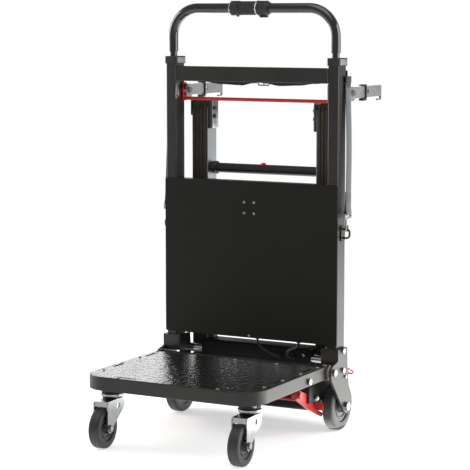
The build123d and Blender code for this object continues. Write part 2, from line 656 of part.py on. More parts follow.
def track_rail():
    """Aluminium rail: two side plates, a hollow core that the track slides on and a pad for the tensioner."""
    inner, outer = RAIL_PLATE
    rail = extrude(Plane.YZ.offset(RAIL_X[0]) * stadium(RAIL_HALF_D), amount=inner)
    rail += extrude(Plane.YZ.offset(RAIL_X[1] - outer) * stadium(RAIL_HALF_D), amount=outer)
    core_x = (RAIL_X[0] + inner, RAIL_X[1] - outer)
    core_z = (TRACK_LOW_Z + 32, TRACK_HIGH_Z - 32)
    rail += block(core_x, (TRACK_Y - CORE_HALF_D, TRACK_Y + CORE_HALF_D), core_z)
    wall = 3.0
    rail -= block((core_x[0] + wall, core_x[1] - wall),
                  (TRACK_Y - CORE_HALF_D + wall, TRACK_Y + CORE_HALF_D - wall), core_z)
    through = (RAIL_X[0] - PAD_T - 1, RAIL_X[1] + 1)
    rail += block((RAIL_X[0] - PAD_T, RAIL_X[0]), (TRACK_Y + 4.5, TRACK_Y + 19), (754, 812))
    rail -= rod_x(SHAFT_R + 0.1, through, TRACK_Y, TRACK_LOW_Z)
    return rail - rod_x(AXLE_R, through, TRACK_Y, TRACK_HIGH_Z)


def idler_bracket():
    """Tensioner block on the rail's inner face, with the idler's axle, an outer cover and two bolts."""
    face = RAIL_X[0]
    body = block((face - 9, face), (TRACK_Y - 24, TRACK_Y + 4), (752, 820))
    body = chamfer(body.faces().sort_by(Axis.X)[0].edges(), 3)
    body += rod_x(AXLE_R, (face - 9, RAIL_X[1]), TRACK_Y, TRACK_HIGH_Z)
    cover = block((RAIL_X[1], RAIL_X[1] + 3), (TRACK_Y - 26, TRACK_Y + 20), (785, 826))
    body += fillet(cover.edges().filter_by(Axis.X), 4)
    seat = face - PAD_T
    bolts = [hex_x(10, (seat - 4, seat), TRACK_Y + 12, z) for z in (772, 796)]
    return [body] + bolts


def track_tube():
    """Cross tube between the rails with a clamp ring at its left end."""
    ends = (-RAIL_X[0], RAIL_X[0])
    tube = rod_x(TRACK_TUBE_R, ends, TRACK_Y, TRACK_TUBE_Z)
    tube += fillet(rod_x(17, (-152, -140), TRACK_Y, TRACK_TUBE_Z).edges(), 1.5)
    return tube - rod_x(TRACK_TUBE_R - TUBE_WALL, ends, TRACK_Y, TRACK_TUBE_Z)


def drive_housing():
    """Closed case of the drive between the rails."""
    middle = Pos(sum(DRIVE_Y) / 2, sum(DRIVE_Z) / 2)
    depth, height = DRIVE_Y[1] - DRIVE_Y[0], DRIVE_Z[1] - DRIVE_Z[0]
    outside = Rectangle(depth, height)
    outside = fillet(outside.vertices().group_by(Axis.Y)[0], DRIVE_RADIUS[0])
    outside = fillet(outside.vertices().group_by(Axis.Y)[-1].sort_by(Axis.X)[0], DRIVE_RADIUS[1])
    outside = middle * fillet(outside.vertices().sort_by(lambda v: v.X + v.Y)[-1], DRIVE_RADIUS[2])
    inside = offset(outside, -DRIVE_WALL)
    inner = DRIVE_HALF_W - DRIVE_SIDE
    case = extrude(Plane.YZ.offset(-DRIVE_HALF_W) * outside, amount=2 * DRIVE_HALF_W)
    case -= extrude(Plane.YZ.offset(-inner) * inside, amount=2 * inner)
    ends = (-DRIVE_HALF_W, DRIVE_HALF_W)
    lid = (LID_Z - LID_SEAM / 2, LID_Z + LID_SEAM / 2)
    kept = (DRIVE_Y[0] + LID_SEAM, DRIVE_Y[1] - LID_SEAM)
    case -= block(ends, DRIVE_Y, lid) - block((LID_SEAM - DRIVE_HALF_W, DRIVE_HALF_W - LID_SEAM), kept, lid)
    case -= rod_x(TRACK_PIN_R + RUN, ends, TRACK_PIVOT_Y, TRACK_PIVOT_Z)
    return case - rod_x(SHAFT_R + RUN, ends, TRACK_Y, TRACK_LOW_Z)


def gear_motor():
    """Motor lying across the case and its gearbox on the drive shaft."""
    floor = DRIVE_Z[0] + DRIVE_WALL
    box = block((60, 138), (FRONT + 36, FRONT + 104), (floor, 178))
    box = fillet(box.edges().filter_by(Axis.X), 8)
    motor = rod_x(32, (-120, 60), FRONT + 72, 150)
    motor += rod_x(26, (-132, -120), FRONT + 72, 150)
    return box + motor - rod_x(SHAFT_R + RUN, (50, 140), TRACK_Y, TRACK_LOW_Z)


def pulley(bore, z):
    """Smooth pulley inside the track's loop."""
    radius = BELT_R - BELT_T - PULLEY_CLEAR
    x = (BELT_X[0] + 0.3, BELT_X[1] - 0.3)
    wheel = rod_x(radius, x, TRACK_Y, z)
    return wheel - rod_x(bore, x, TRACK_Y, z)


def drive_pulleys():
    """Drive shaft with a pulley at each end."""
    shaft = rod_x(SHAFT_R, (-RAIL_X[1], RAIL_X[1]), TRACK_Y, TRACK_LOW_Z)
    wheel = pulley(SHAFT_R, TRACK_LOW_Z)
    return Compound([shaft, wheel, left(wheel)])


CABLE_R = 2.75
CABLE_ROUTES = [
    [(16, FRONT + 12, 225), (16, FRONT + 12, 209), (30, FRONT + 12.5, 196), (49, FRONT + 13, 187),
     (65, FRONT + 14.5, 181), (72, FRONT + 21, 179.5), (72, FRONT + 28, 179.5)],
    [(137, FRONT + 6, 225), (137, FRONT + 6, 212), (124, FRONT + 6, 204.5), (109, FRONT + 6, 199),
     (101, FRONT + 8, 188), (107, FRONT + 13, 180.5), (112, FRONT + 19, 179.5), (112, FRONT + 28, 179.5)],
]


def cable(points):
    """Cable between the housing's floor and the drive case, on the largest arcs that its runs allow."""
    spots = [Vector(*point) for point in points]
    runs = [b - a for a, b in zip(spots, spots[1:])]
    radii = []
    for before, after in zip(runs, runs[1:]):
        half_turn = math.radians(before.get_angle(after)) / 2
        radii.append(0.45 * min(before.length, after.length) / math.tan(half_turn))
    return wire(points, radii, CABLE_R)


# Rear arms, latch bail, brake and lock pin

def arm_bracket():
    """Plated clevis behind the upright with a stop pin under the arm."""
    rear = FRONT + UPRIGHT_D
    bracket = block((222, 244), (rear, rear + 4), (826, 874))
    for x in ((226, 230), (240, 244)):
        cheek = block(x, (rear + 4, ARM_PIVOT_Y + 16), (ARM_PIVOT_Z - 20, ARM_PIVOT_Z + 16))
        bracket += fillet(cheek.edges().filter_by(Axis.X).group_by(Axis.Y)[-1], 10)
    bracket += rod_x(3, (229, 241), ARM_PIVOT_Y + 6, ARM_PIVOT_Z - ARM_HALF_H - 3.05)
    for x in ((225, 230), (240, 245)):
        bracket -= rod_x(5, x, ARM_PIVOT_Y, ARM_PIVOT_Z)
    return bracket


def rear_arm():
    """Flat bar with a round pivot end and a hook folded under its tip."""
    z = (ARM_PIVOT_Z - ARM_HALF_H, ARM_PIVOT_Z + ARM_HALF_H)
    bar = block(ARM_X, (ARM_PIVOT_Y, ARM_END), z) + rod_x(ARM_HALF_H, ARM_X, ARM_PIVOT_Y, ARM_PIVOT_Z)
    bar += block(ARM_X, (ARM_END - 4, ARM_END), (z[0] - 10, z[0]))
    bar += block(ARM_X, (ARM_END - 24, ARM_END), (z[0] - 10, z[0] - 6.5))
    low_edge = bar.edges().filter_by(Axis.X).sort_by(lambda edge: edge.center().Y - edge.center().Z)[-1]
    bar = fillet(low_edge, 5)
    bar -= rod_x(5 + RUN, (ARM_X[0] - 1, ARM_X[1] + 1), ARM_PIVOT_Y, ARM_PIVOT_Z)
    return bar - rod_x(6, (ARM_X[0] - 1, ARM_X[1] + 1), ARM_CLIP_Y + 16, ARM_PIVOT_Z + 2)


def arm_clip():
    """Rubber clip round the bar with a lip above and below it."""
    z = (ARM_PIVOT_Z - ARM_HALF_H, ARM_PIVOT_Z + ARM_HALF_H)
    x = (ARM_X[0] - 3, ARM_X[1] + 3)
    clip = block(x, (ARM_CLIP_Y - 2.5, ARM_CLIP_Y + 2.5), (z[0] - 5, z[1] + 5))
    clip += block(x, (ARM_CLIP_Y - 22, ARM_CLIP_Y), (z[1] + 1.5, z[1] + 5))
    clip += block(x, (ARM_CLIP_Y - 22, ARM_CLIP_Y), (z[0] - 8, z[0] - 1.5))
    clip = fillet(clip.edges().filter_by(Axis.X).group_by(Axis.Y)[0], 1.2)
    return clip - block(ARM_X, (ARM_CLIP_Y - 3, ARM_CLIP_Y + 3), z)


def latch_bail():
    """Red bar across the frame on two end plates."""
    wall = UPRIGHT_X - UPRIGHT_W / 2
    x = (wall - 6, wall - 2)
    plate = block(x, (BAIL_PIVOT_Y - 9, BAIL_PIVOT_Y + 9), (BAIL_BAR_Z - 6, BAIL_PIVOT_Z + 12))
    plate = fillet(plate.edges().filter_by(Axis.X), 6)
    plate -= rod_x(4 + RUN, (x[0] - 1, x[1] + 1), BAIL_PIVOT_Y, BAIL_PIVOT_Z)
    return plate + left(plate) + rod_x(4.5, (-x[0], x[0]), BAIL_PIVOT_Y, BAIL_BAR_Z)


def brake_bail():
    """Red foot brake: two levers, a cross rod and a curved shoe in front of each tyre."""
    lever = plate_x(
        at_front([(-136, 106), (-136, 124), (-114, 125), (-70, 107), (-50, 100), (-42, 82), (-44, 70),
                  (10, 47), (14, 41), (8, 36), (-18, 46), (-82, 76), (-118, 96)]), BRAKE_X, 2.5)
    lever += rod_x(12, BRAKE_X, BRAKE_PIVOT_Y, BRAKE_PIVOT_Z)
    lever += rod_x(8.5, (BRAKE_X[0] - 9, BRAKE_X[1] + 9), FRONT - 127, 116)
    shoe_x = (BRAKE_X[0], WHEEL_X[0] + 8)
    inner, outer = WHEEL_R + 2, WHEEL_R + 7
    shoe = rod_x(outer, shoe_x, WHEEL_Y, WHEEL_R) - rod_x(inner, shoe_x, WHEEL_Y, WHEEL_R)
    sector = [(0, 0), (-100, 23), (-100, -3)]
    wedge = make_face(Polyline(*[(WHEEL_Y + y, WHEEL_R + z) for y, z in sector], close=True))
    shoe &= extrude(Plane.YZ.offset(shoe_x[0]) * wedge, amount=shoe_x[1] - shoe_x[0])
    finger = block(BRAKE_X, (WHEEL_Y - outer, WHEEL_Y - inner), (WHEEL_R - 10, WHEEL_R + 8))
    lever += shoe + finger
    lever -= rod_x(5 + RUN, (BRAKE_X[0] - 1, BRAKE_X[1] + 1), BRAKE_PIVOT_Y, BRAKE_PIVOT_Z)
    return lever + left(lever) + rod_x(4.5, (-BRAKE_X[0], BRAKE_X[0]), FRONT - 116, 103)


def lock_pin():
    """Spring pin through the right bracket with a pull ring hanging back from its end."""
    end = FRONT + 89
    pin = rod_y(4, LOCK_X, (FRONT - 12, end), LOCK_Z)
    pin += rod_y(6, LOCK_X, (FRONT + 46.3, FRONT + 56), LOCK_Z)
    ring = Pos(LOCK_X, end - 1, LOCK_Z) * Rot(-LOCK_RING_DROP, 0, 0) * Pos(0, 9, 0) * Torus(9, 1.8)
    return pin + ring


def build():
    """Every node of the truck by name."""
    nodes = {
        "upright_r": upright(),
        "upright_l": left(upright()),
        "crossbar": crossbar(),
        "front_panel": front_panel(),
        "body_housing": body_housing(),
        "batteries": batteries(),
        "controller": controller(),
        "base_brackets": Compound([lock_guide(base_bracket()), left(base_bracket())]),
        "side_plate_r": side_plate(),
        "side_plate_l": left(side_plate()),
        "collars": pair(collar()),
        "frame_bolts": Compound([piece for bolt in frame_bolts() for piece in (bolt, left(bolt))]),
        "pivot_pins": pair(pivot_pin()),
        "strap_fittings": Compound([piece for item in strap_fittings() for piece in (item, left(item))]),
        "snap_hooks": pair(snap_hook()),
        "strap_r": strap(),
        "strap_l": left(strap()),
        "rear_belt": rear_belt(),
        "arm_brackets": pair(arm_bracket()),
        "drive_cables": Compound([cable(route) for route in CABLE_ROUTES]),
        "handle_tube": handle_tube(),
        "handle_legs": pair(handle_leg()),
        "leg_guides": pair(leg_guide()),
        "control_clamps": Compound(control_clamps()),
        "control_barrel": control_barrel(),
        "drive_button": drive_button(),
        "platform_rim": platform_rim(),
        "platform_plate": platform_plate(),
        "hinge_tube": hinge_tube(),
        "hinge_bushes": pair(hinge_bush()),
        "cross_rod": cross_rod(),
        "caster_plates": pair(caster_plate()),
        "caster_heads": pair(caster_head()),
        "drive_housing": drive_housing(),
        "gear_motor": gear_motor(),
        "idler_brackets": Compound([piece for item in idler_bracket() for piece in (item, left(item))]),
        "track_tube": track_tube(),
        "drive_pulleys": drive_pulleys(),
        "track_idlers": pair(pulley(AXLE_R + RUN, TRACK_HIGH_Z)),
        "latch_bail": latch_bail(),
        "brake_bail": brake_bail(),
        "lock_pin": lock_pin(),
    }
    for side, mark in ((1, "r"), (-1, "l")):
        place = caster_place(side)
        nodes["caster_fork_" + mark] = Compound([place * solid for solid in caster_fork()])
        nodes["caster_tyre_" + mark] = place * caster_tyre()
        nodes["caster_core_" + mark] = place * caster_core()
    for name, piece in (("rear_tyre", rear_tyre()), ("rear_core", rear_core()), ("track_rail", track_rail()),
                        ("track_belt", track_belt()), ("rear_arm", rear_arm()), ("arm_clip", arm_clip())):
        nodes[name + "_r"] = piece
        nodes[name + "_l"] = left(piece)
    return nodes


os.makedirs("parts", exist_ok=True)
for node, shape in build().items():
    export_step(shape, os.path.join("parts", node + ".step"))
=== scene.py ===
"""Finishes, webbing, cables and small fittings of a stair climbing hand truck, set on its CAD frame."""

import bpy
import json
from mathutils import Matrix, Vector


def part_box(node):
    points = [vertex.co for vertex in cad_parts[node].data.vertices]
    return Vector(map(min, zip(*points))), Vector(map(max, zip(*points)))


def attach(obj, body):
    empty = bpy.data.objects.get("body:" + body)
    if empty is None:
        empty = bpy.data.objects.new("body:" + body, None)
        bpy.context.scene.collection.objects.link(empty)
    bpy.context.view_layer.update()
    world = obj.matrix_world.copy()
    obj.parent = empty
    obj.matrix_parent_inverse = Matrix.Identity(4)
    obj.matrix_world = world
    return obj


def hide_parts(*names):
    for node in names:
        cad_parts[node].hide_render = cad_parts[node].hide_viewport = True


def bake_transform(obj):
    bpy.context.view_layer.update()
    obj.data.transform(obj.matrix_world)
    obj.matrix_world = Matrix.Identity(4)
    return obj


bl_info = {
    "name": "Stair climbing hand truck",
    "version": (1, 0, 0),
    "blender": (4, 5, 0),
    "location": "3D View > Sidebar > Hand truck",
    "description": "Finishes the hand truck's frame and adds its webbing, cables and small fittings",
    "category": "Object",
}

import json
from math import cos, pi, radians, sin, sqrt

import bmesh
import bpy
from bpy.props import FloatProperty, FloatVectorProperty, IntProperty, PointerProperty
from bpy.types import Node, NodeSocket, Operator, Panel, PropertyGroup
from mathutils import Matrix, Vector

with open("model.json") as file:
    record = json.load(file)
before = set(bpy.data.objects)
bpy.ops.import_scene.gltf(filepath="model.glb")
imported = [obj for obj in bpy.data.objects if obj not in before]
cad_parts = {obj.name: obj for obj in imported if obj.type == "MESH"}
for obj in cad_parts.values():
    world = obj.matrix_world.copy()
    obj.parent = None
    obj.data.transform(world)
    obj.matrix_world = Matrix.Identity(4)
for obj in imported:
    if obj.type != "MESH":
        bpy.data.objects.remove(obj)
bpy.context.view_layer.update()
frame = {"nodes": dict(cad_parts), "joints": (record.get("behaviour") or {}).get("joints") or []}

MM = 0.001
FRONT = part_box("upright_r")[0].y / MM    # the uprights' front face, from which every shape counts its Y
SIDES = ((1, "r"), (-1, "l"))    # sign of X and mark of the right and the left piece
FORWARD = (0, -1, 0)
BACK = (0, 1, 0)
UP = (0, 0, 1)
DOWN = (0, 0, -1)


# Colour and node helpers

def linear(code):
    """Linear RGBA of an sRGB hex colour."""
    channels = [int(code[i:i + 2], 16) / 255 for i in (1, 3, 5)]
    return tuple(c / 12.92 if c <= 0.04045 else ((c + 0.055) / 1.055) ** 2.4 for c in channels) + (1.0,)


def per_mm(size):
    """Texture scale whose features are about this many millimetres across."""
    return 1 / (size * MM)


def per_band(spacing):
    """Scale of a wave texture whose bands are about this many millimetres apart."""
    return per_mm(spacing * pi)


def node(tree, kind, sockets=None, **settings):
    """Adds a node, sets it up and feeds its sockets with values, outputs or other nodes' first outputs."""
    made = tree.nodes.new("ShaderNode" + kind)
    for key, value in settings.items():
        setattr(made, key, value)
    for key, value in (sockets or {}).items():
        if isinstance(value, Node):
            value = value.outputs[0]
        if isinstance(value, NodeSocket):
            tree.links.new(value, made.inputs[key])
        else:
            made.inputs[key].default_value = value
    return made


def blank(name):
    """Empty material with its tree and the place of a point on the piece, in metres."""
    material = bpy.data.materials.new(name)
    material.use_nodes = True
    tree = material.node_tree
    tree.nodes.clear()
    return material, tree, node(tree, "TexCoord").outputs["Object"]


def surfaced(tree, uniform, tones=None, rough=None, relief=None):
    """Ends a finish in a shader with uniform values and with patterns.

    tones is a pattern with the two colours that it spreads, rough is one with its two roughnesses, and
    relief is one with its strength and its height in millimetres.
    """
    sockets = dict(uniform)
    if tones:
        pattern, *colours = tones
        low, high = [linear(code) if isinstance(code, str) else code for code in colours]
        mix = node(tree, "Mix", {0: pattern, 6: low, 7: high}, data_type="RGBA")
        sockets["Base Color"] = mix.outputs[2]
    if rough:
        pattern, low, high = rough
        sockets["Roughness"] = node(tree, "MapRange", {"Value": pattern, "To Min": low, "To Max": high})
    if relief:
        pattern, strength, height = relief
        sockets["Normal"] = node(tree, "Bump", {"Height": pattern, "Strength": strength,
                                                "Distance": height * MM})
    shader = node(tree, "BsdfPrincipled", sockets)
    node(tree, "OutputMaterial", {"Surface": shader})


# Settings

def colour(label, about, code):
    """Setting for a finish's colour, written in sRGB."""
    return FloatVectorProperty(name=label, description=about, default=linear(code), size=4, min=0, max=1,
                               subtype="COLOR")


def length(label, about, millimetres):
    """Setting for a size."""
    return FloatProperty(name=label, description=about, default=millimetres * MM, min=0, subtype="DISTANCE",
                         unit="LENGTH")


def angle(label, about, degrees):
    """Setting for an angle of the camera."""
    return FloatProperty(name=label, description=about, default=radians(degrees), subtype="ANGLE")


def power(label, about, watts):
    """Setting for a light's power."""
    return FloatProperty(name=label, description=about, default=watts, min=0, subtype="POWER")


class TruckFinish(PropertyGroup):
    """Colours of the hand truck's finishes."""
    coat: colour("Powder coat", "Satin black of the frame and rim", "#1a1712")
    panel: colour("Panel coat", "Matt black of the front panel", "#161511")
    deck: colour("Deck coat", "Black of the grained platform", "#1a1a17")
    grip: colour("Handle coat", "Black of the handle tube", "#131210")
    red: colour("Signal red", "Red of the latch bail, brake and pull ring", "#c3262a")
    zinc: colour("Zinc", "Bright zinc plate on the casters and bolts", "#9da0a2")
    rail: colour("Rail", "Anodised aluminium of the track rails", "#9a9da0")
    tyre: colour("Tyre", "Grey-black rubber of the wheels", "#292928")
    track: colour("Track", "Black rubber of the tracks", "#353029")
    webbing: colour("Webbing", "Grey-black polyester of the strap", "#4a4d50")
    grain: length("Deck grain", "Size of the bumps in the deck's coat", 14.0)


class TruckFittings(PropertyGroup):
    """Sizes of the small fittings."""
    screw_head: length("Screw head", "Diameter of the button heads on panel and deck", 7.5)
    screw_rise: length("Screw rise", "Height of the button heads", 2.2)
    strap_width: length("Strap width", "Width of the webbing", 30.0)
    strap_thick: length("Strap thickness", "Thickness of the webbing", 1.8)
    cable: length("Cable", "Diameter of the drive cables", 5.5)
    steps: IntProperty(name="Round steps", description="Sides of a turned fitting", default=32, min=12,
                       max=96)


class TruckStage(PropertyGroup):
    """Camera, light and floor."""
    focal: FloatProperty(name="Focal length", description="Camera's lens", default=138.53, min=20,
                         subtype="DISTANCE_CAMERA")
    yaw: angle("Turn", "Camera's turn round the truck", 28.294)
    pitch: angle("Tilt", "How far the camera looks down", 6.974)
    place: FloatVectorProperty(name="Camera", description="Camera's place", subtype="TRANSLATION",
                               unit="LENGTH", default=(2.13375, -3.95492, 1.04735))
    floor: colour("Floor", "Pale studio floor", "#f4f4f2")
    rear_light: power("Rear light", "Power of the low softbox behind on the left", 8.5)
    left_light: power("Left light", "Power of the softbox on the left", 30.0)
    right_light: power("Right light", "Power of the softbox on the right", 34.0)
    top_light: power("Top light", "Power of the overhead softbox", 23.0)
    low_light: power("Low light", "Power of the bounce panel on the floor behind", 43.0)


# Finishes

def satin_powder_coat(tree, place, finish):
    """Polyester powder sprayed and baked on steel: an even satin black with a faint orange peel."""
    patch = node(tree, "TexNoise", {"Vector": place, "Scale": per_mm(70), "Detail": 3.0})
    # The peel is under a millimetre on the real coat and is drawn at three to show
    peel = node(tree, "TexNoise", {"Vector": place, "Scale": per_mm(3.0), "Detail": 2.0})
    surfaced(tree, {"IOR": 1.6}, tones=(patch, finish.coat, "#25211b"), rough=(patch, 0.30, 0.42),
             relief=(peel, 0.12, 0.4))


def matt_panel_coat(tree, place, finish):
    """Matt powder coat on the panel: deeper black than the tubes, with a slow ripple in the sheet."""
    ripple = node(tree, "TexNoise", {"Vector": place, "Scale": per_mm(220), "Detail": 2.0})
    # The coat's grit is a fifth of a millimetre and is drawn at two to show
    grit = node(tree, "TexNoise", {"Vector": place, "Scale": per_mm(2.0), "Detail": 2.0})
    surfaced(tree, {"IOR": 1.5, "Specular IOR Level": 0.22}, tones=(ripple, finish.panel, "#201f1a"),
             rough=(ripple, 0.40, 0.55), relief=(grit, 0.10, 0.3))


def grained_deck_coat(tree, place, finish):
    """Thick textured powder coat on the platform: leathery bumps that catch the light one by one."""
    # The bumps are about six millimetres on the real coat and are drawn at fourteen to show. The fine
    # grain on them is under one and is drawn at two.
    cells = node(tree, "TexVoronoi", {"Vector": place, "Scale": 1 / finish.grain, "Randomness": 1.0},
                 feature="SMOOTH_F1")
    warp = node(tree, "TexNoise", {"Vector": place, "Scale": per_mm(16), "Detail": 2.0})
    hills = node(tree, "Math", {0: cells, 1: warp}, operation="MULTIPLY")
    fine = node(tree, "TexNoise", {"Vector": place, "Scale": per_mm(2.2), "Detail": 3.0})
    grains = node(tree, "Math", {0: fine, 1: 0.2, 2: hills}, operation="MULTIPLY_ADD")
    surfaced(tree, {"IOR": 1.5}, tones=(fine, finish.deck, "#282725"), rough=(warp, 0.10, 0.13),
             relief=(grains, 0.9, 3.0))


def gloss_powder_coat(tree, place, finish):
    """Smooth powder coat on the handle: blacker and glossier than the frame's, polished by hands."""
    rub = node(tree, "TexNoise", {"Vector": place, "Scale": per_mm(35), "Detail": 4.0})
    # The peel is under a millimetre on the real coat and is drawn at four to show
    peel = node(tree, "TexNoise", {"Vector": place, "Scale": per_mm(4.0), "Detail": 1.0})
    surfaced(tree, {"IOR": 1.6, "Coat Weight": 1.0, "Coat Roughness": 0.06},
             tones=(rub, finish.grip, "#1e1d1b"), rough=(rub, 0.13, 0.22), relief=(peel, 0.06, 0.4))


def black_anodised_case(tree, place, finish):
    """Extruded aluminium, matt black anodised: almost no sheen, with faint lines along the extrusion."""
    lines = node(tree, "Mapping", {"Vector": place, "Scale": (0.02, 1.0, 1.0)})
    # The lines are hair fine on the real case and are drawn at 1.6 mm to show
    draw = node(tree, "TexNoise", {"Vector": lines, "Scale": per_mm(1.6), "Detail": 3.0})
    surfaced(tree, {"Metallic": 0.2, "Specular IOR Level": 0.2}, tones=(draw, "#161616", "#262626"),
             rough=(draw, 0.52, 0.66), relief=(draw, 0.10, 0.2))


def die_cast_alloy(tree, place, finish):
    """Bare die cast aluminium: dull grey with a fine pebbled skin."""
    # The pebbles are half a millimetre on the real skin and are drawn at 1.5 to show
    skin = node(tree, "TexNoise", {"Vector": place, "Scale": per_mm(1.5), "Detail": 4.0})
    surfaced(tree, {"Roughness": 0.5, "Metallic": 1.0}, tones=(skin, "#85878a", "#a2a4a6"),
             relief=(skin, 0.3, 0.3))


def anodised_rail(tree, place, finish):
    """Clear anodised aluminium extrusion: satin grey metal with die lines along its length."""
    lines = node(tree, "Mapping", {"Vector": place, "Scale": (1.0, 1.0, 0.015)})
    # The lines are hair fine on the real rail and are drawn at 1.2 mm to show
    draw = node(tree, "TexNoise", {"Vector": lines, "Scale": per_mm(1.2), "Detail": 4.0})
    surfaced(tree, {"Metallic": 1.0}, tones=(draw, finish.rail, "#aeb1b3"), rough=(draw, 0.30, 0.46),
             relief=(draw, 0.12, 0.2))


def bright_zinc(tree, place, finish):
    """Electroplated bright zinc on pressed steel: white metal with a cloudy, slightly blue spangle."""
    cloud = node(tree, "TexNoise", {"Vector": place, "Scale": per_mm(14), "Detail": 4.0})
    # The pressing's grain is under a millimetre and is drawn at 2.5 to show
    grain = node(tree, "TexNoise", {"Vector": place, "Scale": per_mm(2.5), "Detail": 2.0})
    surfaced(tree, {"Metallic": 1.0}, tones=(cloud, finish.zinc, "#b6b9bc"), rough=(cloud, 0.14, 0.28),
             relief=(grain, 0.05, 0.3))


def dull_zinc(tree, place, finish):
    """Barrel plated zinc on thick bar: warm grey metal, tumbled matt."""
    cloud = node(tree, "TexNoise", {"Vector": place, "Scale": per_mm(10), "Detail": 5.0})
    surfaced(tree, {"Metallic": 1.0}, tones=(cloud, "#8f9190", "#a8aaa9"), rough=(cloud, 0.34, 0.55),
             relief=(cloud, 0.08, 0.5))


def polished_chrome(tree, place, finish):
    """Decorative chrome over polished steel: a bright mirror, a little clouded by wiping."""
    wipe = node(tree, "TexNoise", {"Vector": place, "Scale": per_mm(6), "Detail": 5.0})
    surfaced(tree, {"Base Color": linear("#e2e3e5"), "Metallic": 1.0}, rough=(wipe, 0.10, 0.20))


def black_oxide_steel(tree, place, finish):
    """Chemically blackened steel fasteners: brown-black metal with an oily sheen."""
    oil = node(tree, "TexNoise", {"Vector": place, "Scale": per_mm(5), "Detail": 4.0})
    surfaced(tree, {"Metallic": 0.8}, tones=(oil, "#2b2a28", "#4b4945"), rough=(oil, 0.25, 0.45))


def signal_red_coat(tree, place, finish):
    """Gloss red powder coat: saturated, with a soft orange peel."""
    patch = node(tree, "TexNoise", {"Vector": place, "Scale": per_mm(40), "Detail": 3.0})
    # The peel is under a millimetre on the real coat and is drawn at three to show
    peel = node(tree, "TexNoise", {"Vector": place, "Scale": per_mm(3.0), "Detail": 1.0})
    surfaced(tree, {"Roughness": 0.30, "IOR": 1.5}, tones=(patch, finish.red, "#d23a38"),
             relief=(peel, 0.10, 0.4))


def moulded_nylon(tree, place, finish):
    """Glass filled nylon from a spark eroded mould: matt black with an even fine grain."""
    # The mould's grain is a quarter of a millimetre and is drawn at one to show
    grain = node(tree, "TexNoise", {"Vector": place, "Scale": per_mm(1.0), "Detail": 3.0})
    surfaced(tree, {"IOR": 1.53}, tones=(grain, "#171717", "#2a2a29"), rough=(grain, 0.42, 0.60),
             relief=(grain, 0.18, 0.3))


def natural_nylon(tree, place, finish):
    """Natural cast nylon, turned to a bush: waxy beige, a little soiled by grease."""
    grease = node(tree, "TexNoise", {"Vector": place, "Scale": per_mm(6), "Detail": 4.0})
    surfaced(tree, {"IOR": 1.53}, tones=(grease, "#8c8679", "#b3ada1"), rough=(grease, 0.34, 0.52))


def wheel_core_nylon(tree, place, finish):
    """Injection moulded wheel core: charcoal nylon, smoother than the fittings."""
    flow = node(tree, "TexNoise", {"Vector": place, "Scale": per_mm(9), "Detail": 4.0})
    surfaced(tree, {"IOR": 1.53}, tones=(flow, "#1c1c1c", "#2c2c2b"), rough=(flow, 0.26, 0.40))


def tyre_rubber(tree, place, finish):
    """Solid non-marking rubber: grey-black, bloomed a little lighter in patches."""
    bloom = node(tree, "TexNoise", {"Vector": place, "Scale": per_mm(22), "Detail": 5.0})
    # The mould's grain is half a millimetre and is drawn at 1.4 to show
    skin = node(tree, "TexNoise", {"Vector": place, "Scale": per_mm(1.4), "Detail": 3.0})
    surfaced(tree, {"IOR": 1.52}, tones=(bloom, finish.tyre, "#3a3a38"), rough=(bloom, 0.36, 0.52),
             relief=(skin, 0.12, 0.3))


def pressed_track_rubber(tree, place, finish):
    """Pressed track rubber over cords: near black with a fabric print on its faces."""
    # The print's threads are under a millimetre apart and are drawn at 2.4 to show
    threads = {"Vector": place, "Scale": per_band(2.4)}
    print_x = node(tree, "TexWave", threads, bands_direction="X").outputs["Fac"]
    print_z = node(tree, "TexWave", threads, bands_direction="Z").outputs["Fac"]
    cloth = node(tree, "Math", {0: print_x, 1: print_z}, operation="MULTIPLY")
    dust = node(tree, "TexNoise", {"Vector": place, "Scale": per_mm(30), "Detail": 5.0})
    surfaced(tree, {"Roughness": 0.62, "IOR": 1.52, "Specular IOR Level": 0.25},
             tones=(dust, finish.track, "#4a443b"), relief=(cloth, 0.15, 0.3))


def moulded_rubber(tree, place, finish):
    """Moulded rubber of the clips and cable sheaths: plain matt black."""
    # The mould's grain is half a millimetre and is drawn at two to show
    skin = node(tree, "TexNoise", {"Vector": place, "Scale": per_mm(2.0), "Detail": 3.0})
    surfaced(tree, {"IOR": 1.52}, tones=(skin, "#121212", "#202020"), rough=(skin, 0.28, 0.44))


def polyester_webbing(tree, place, finish):
    """Woven polyester webbing: ribs across the strap and twill steps along it, with a soft sheen."""
    # Threads are 0.6 mm apart and are drawn at 1.6 and 1.9 to show
    weft = node(tree, "TexWave", {"Vector": place, "Scale": per_band(1.6), "Distortion": 0.6},
                bands_direction="Z").outputs["Fac"]
    warp = node(tree, "TexWave", {"Vector": place, "Scale": per_band(1.9), "Distortion": 0.6},
                bands_direction="DIAGONAL").outputs["Fac"]
    weave = node(tree, "Math", {0: weft, 1: warp}, operation="MULTIPLY")
    surfaced(tree, {"Roughness": 0.72, "IOR": 1.5, "Sheen Weight": 0.35, "Sheen Roughness": 0.4},
             tones=(weave, finish.webbing, "#6a6e70"), relief=(weave, 0.4, 0.5))


def black_webbing(tree, place, finish):
    """Black polyester webbing of the belt: the strap's weave in dyed yarn, with hardly any sheen."""
    # Threads are 0.6 mm apart and are drawn at 1.6 to show
    weft = node(tree, "TexWave", {"Vector": place, "Scale": per_band(1.6), "Distortion": 0.6},
                bands_direction="X").outputs["Fac"]
    surfaced(tree, {"Roughness": 0.7, "IOR": 1.5, "Sheen Weight": 0.1, "Sheen Roughness": 0.4},
             tones=(weft, "#1a1815", "#2d2a25"), relief=(weft, 0.4, 0.5))


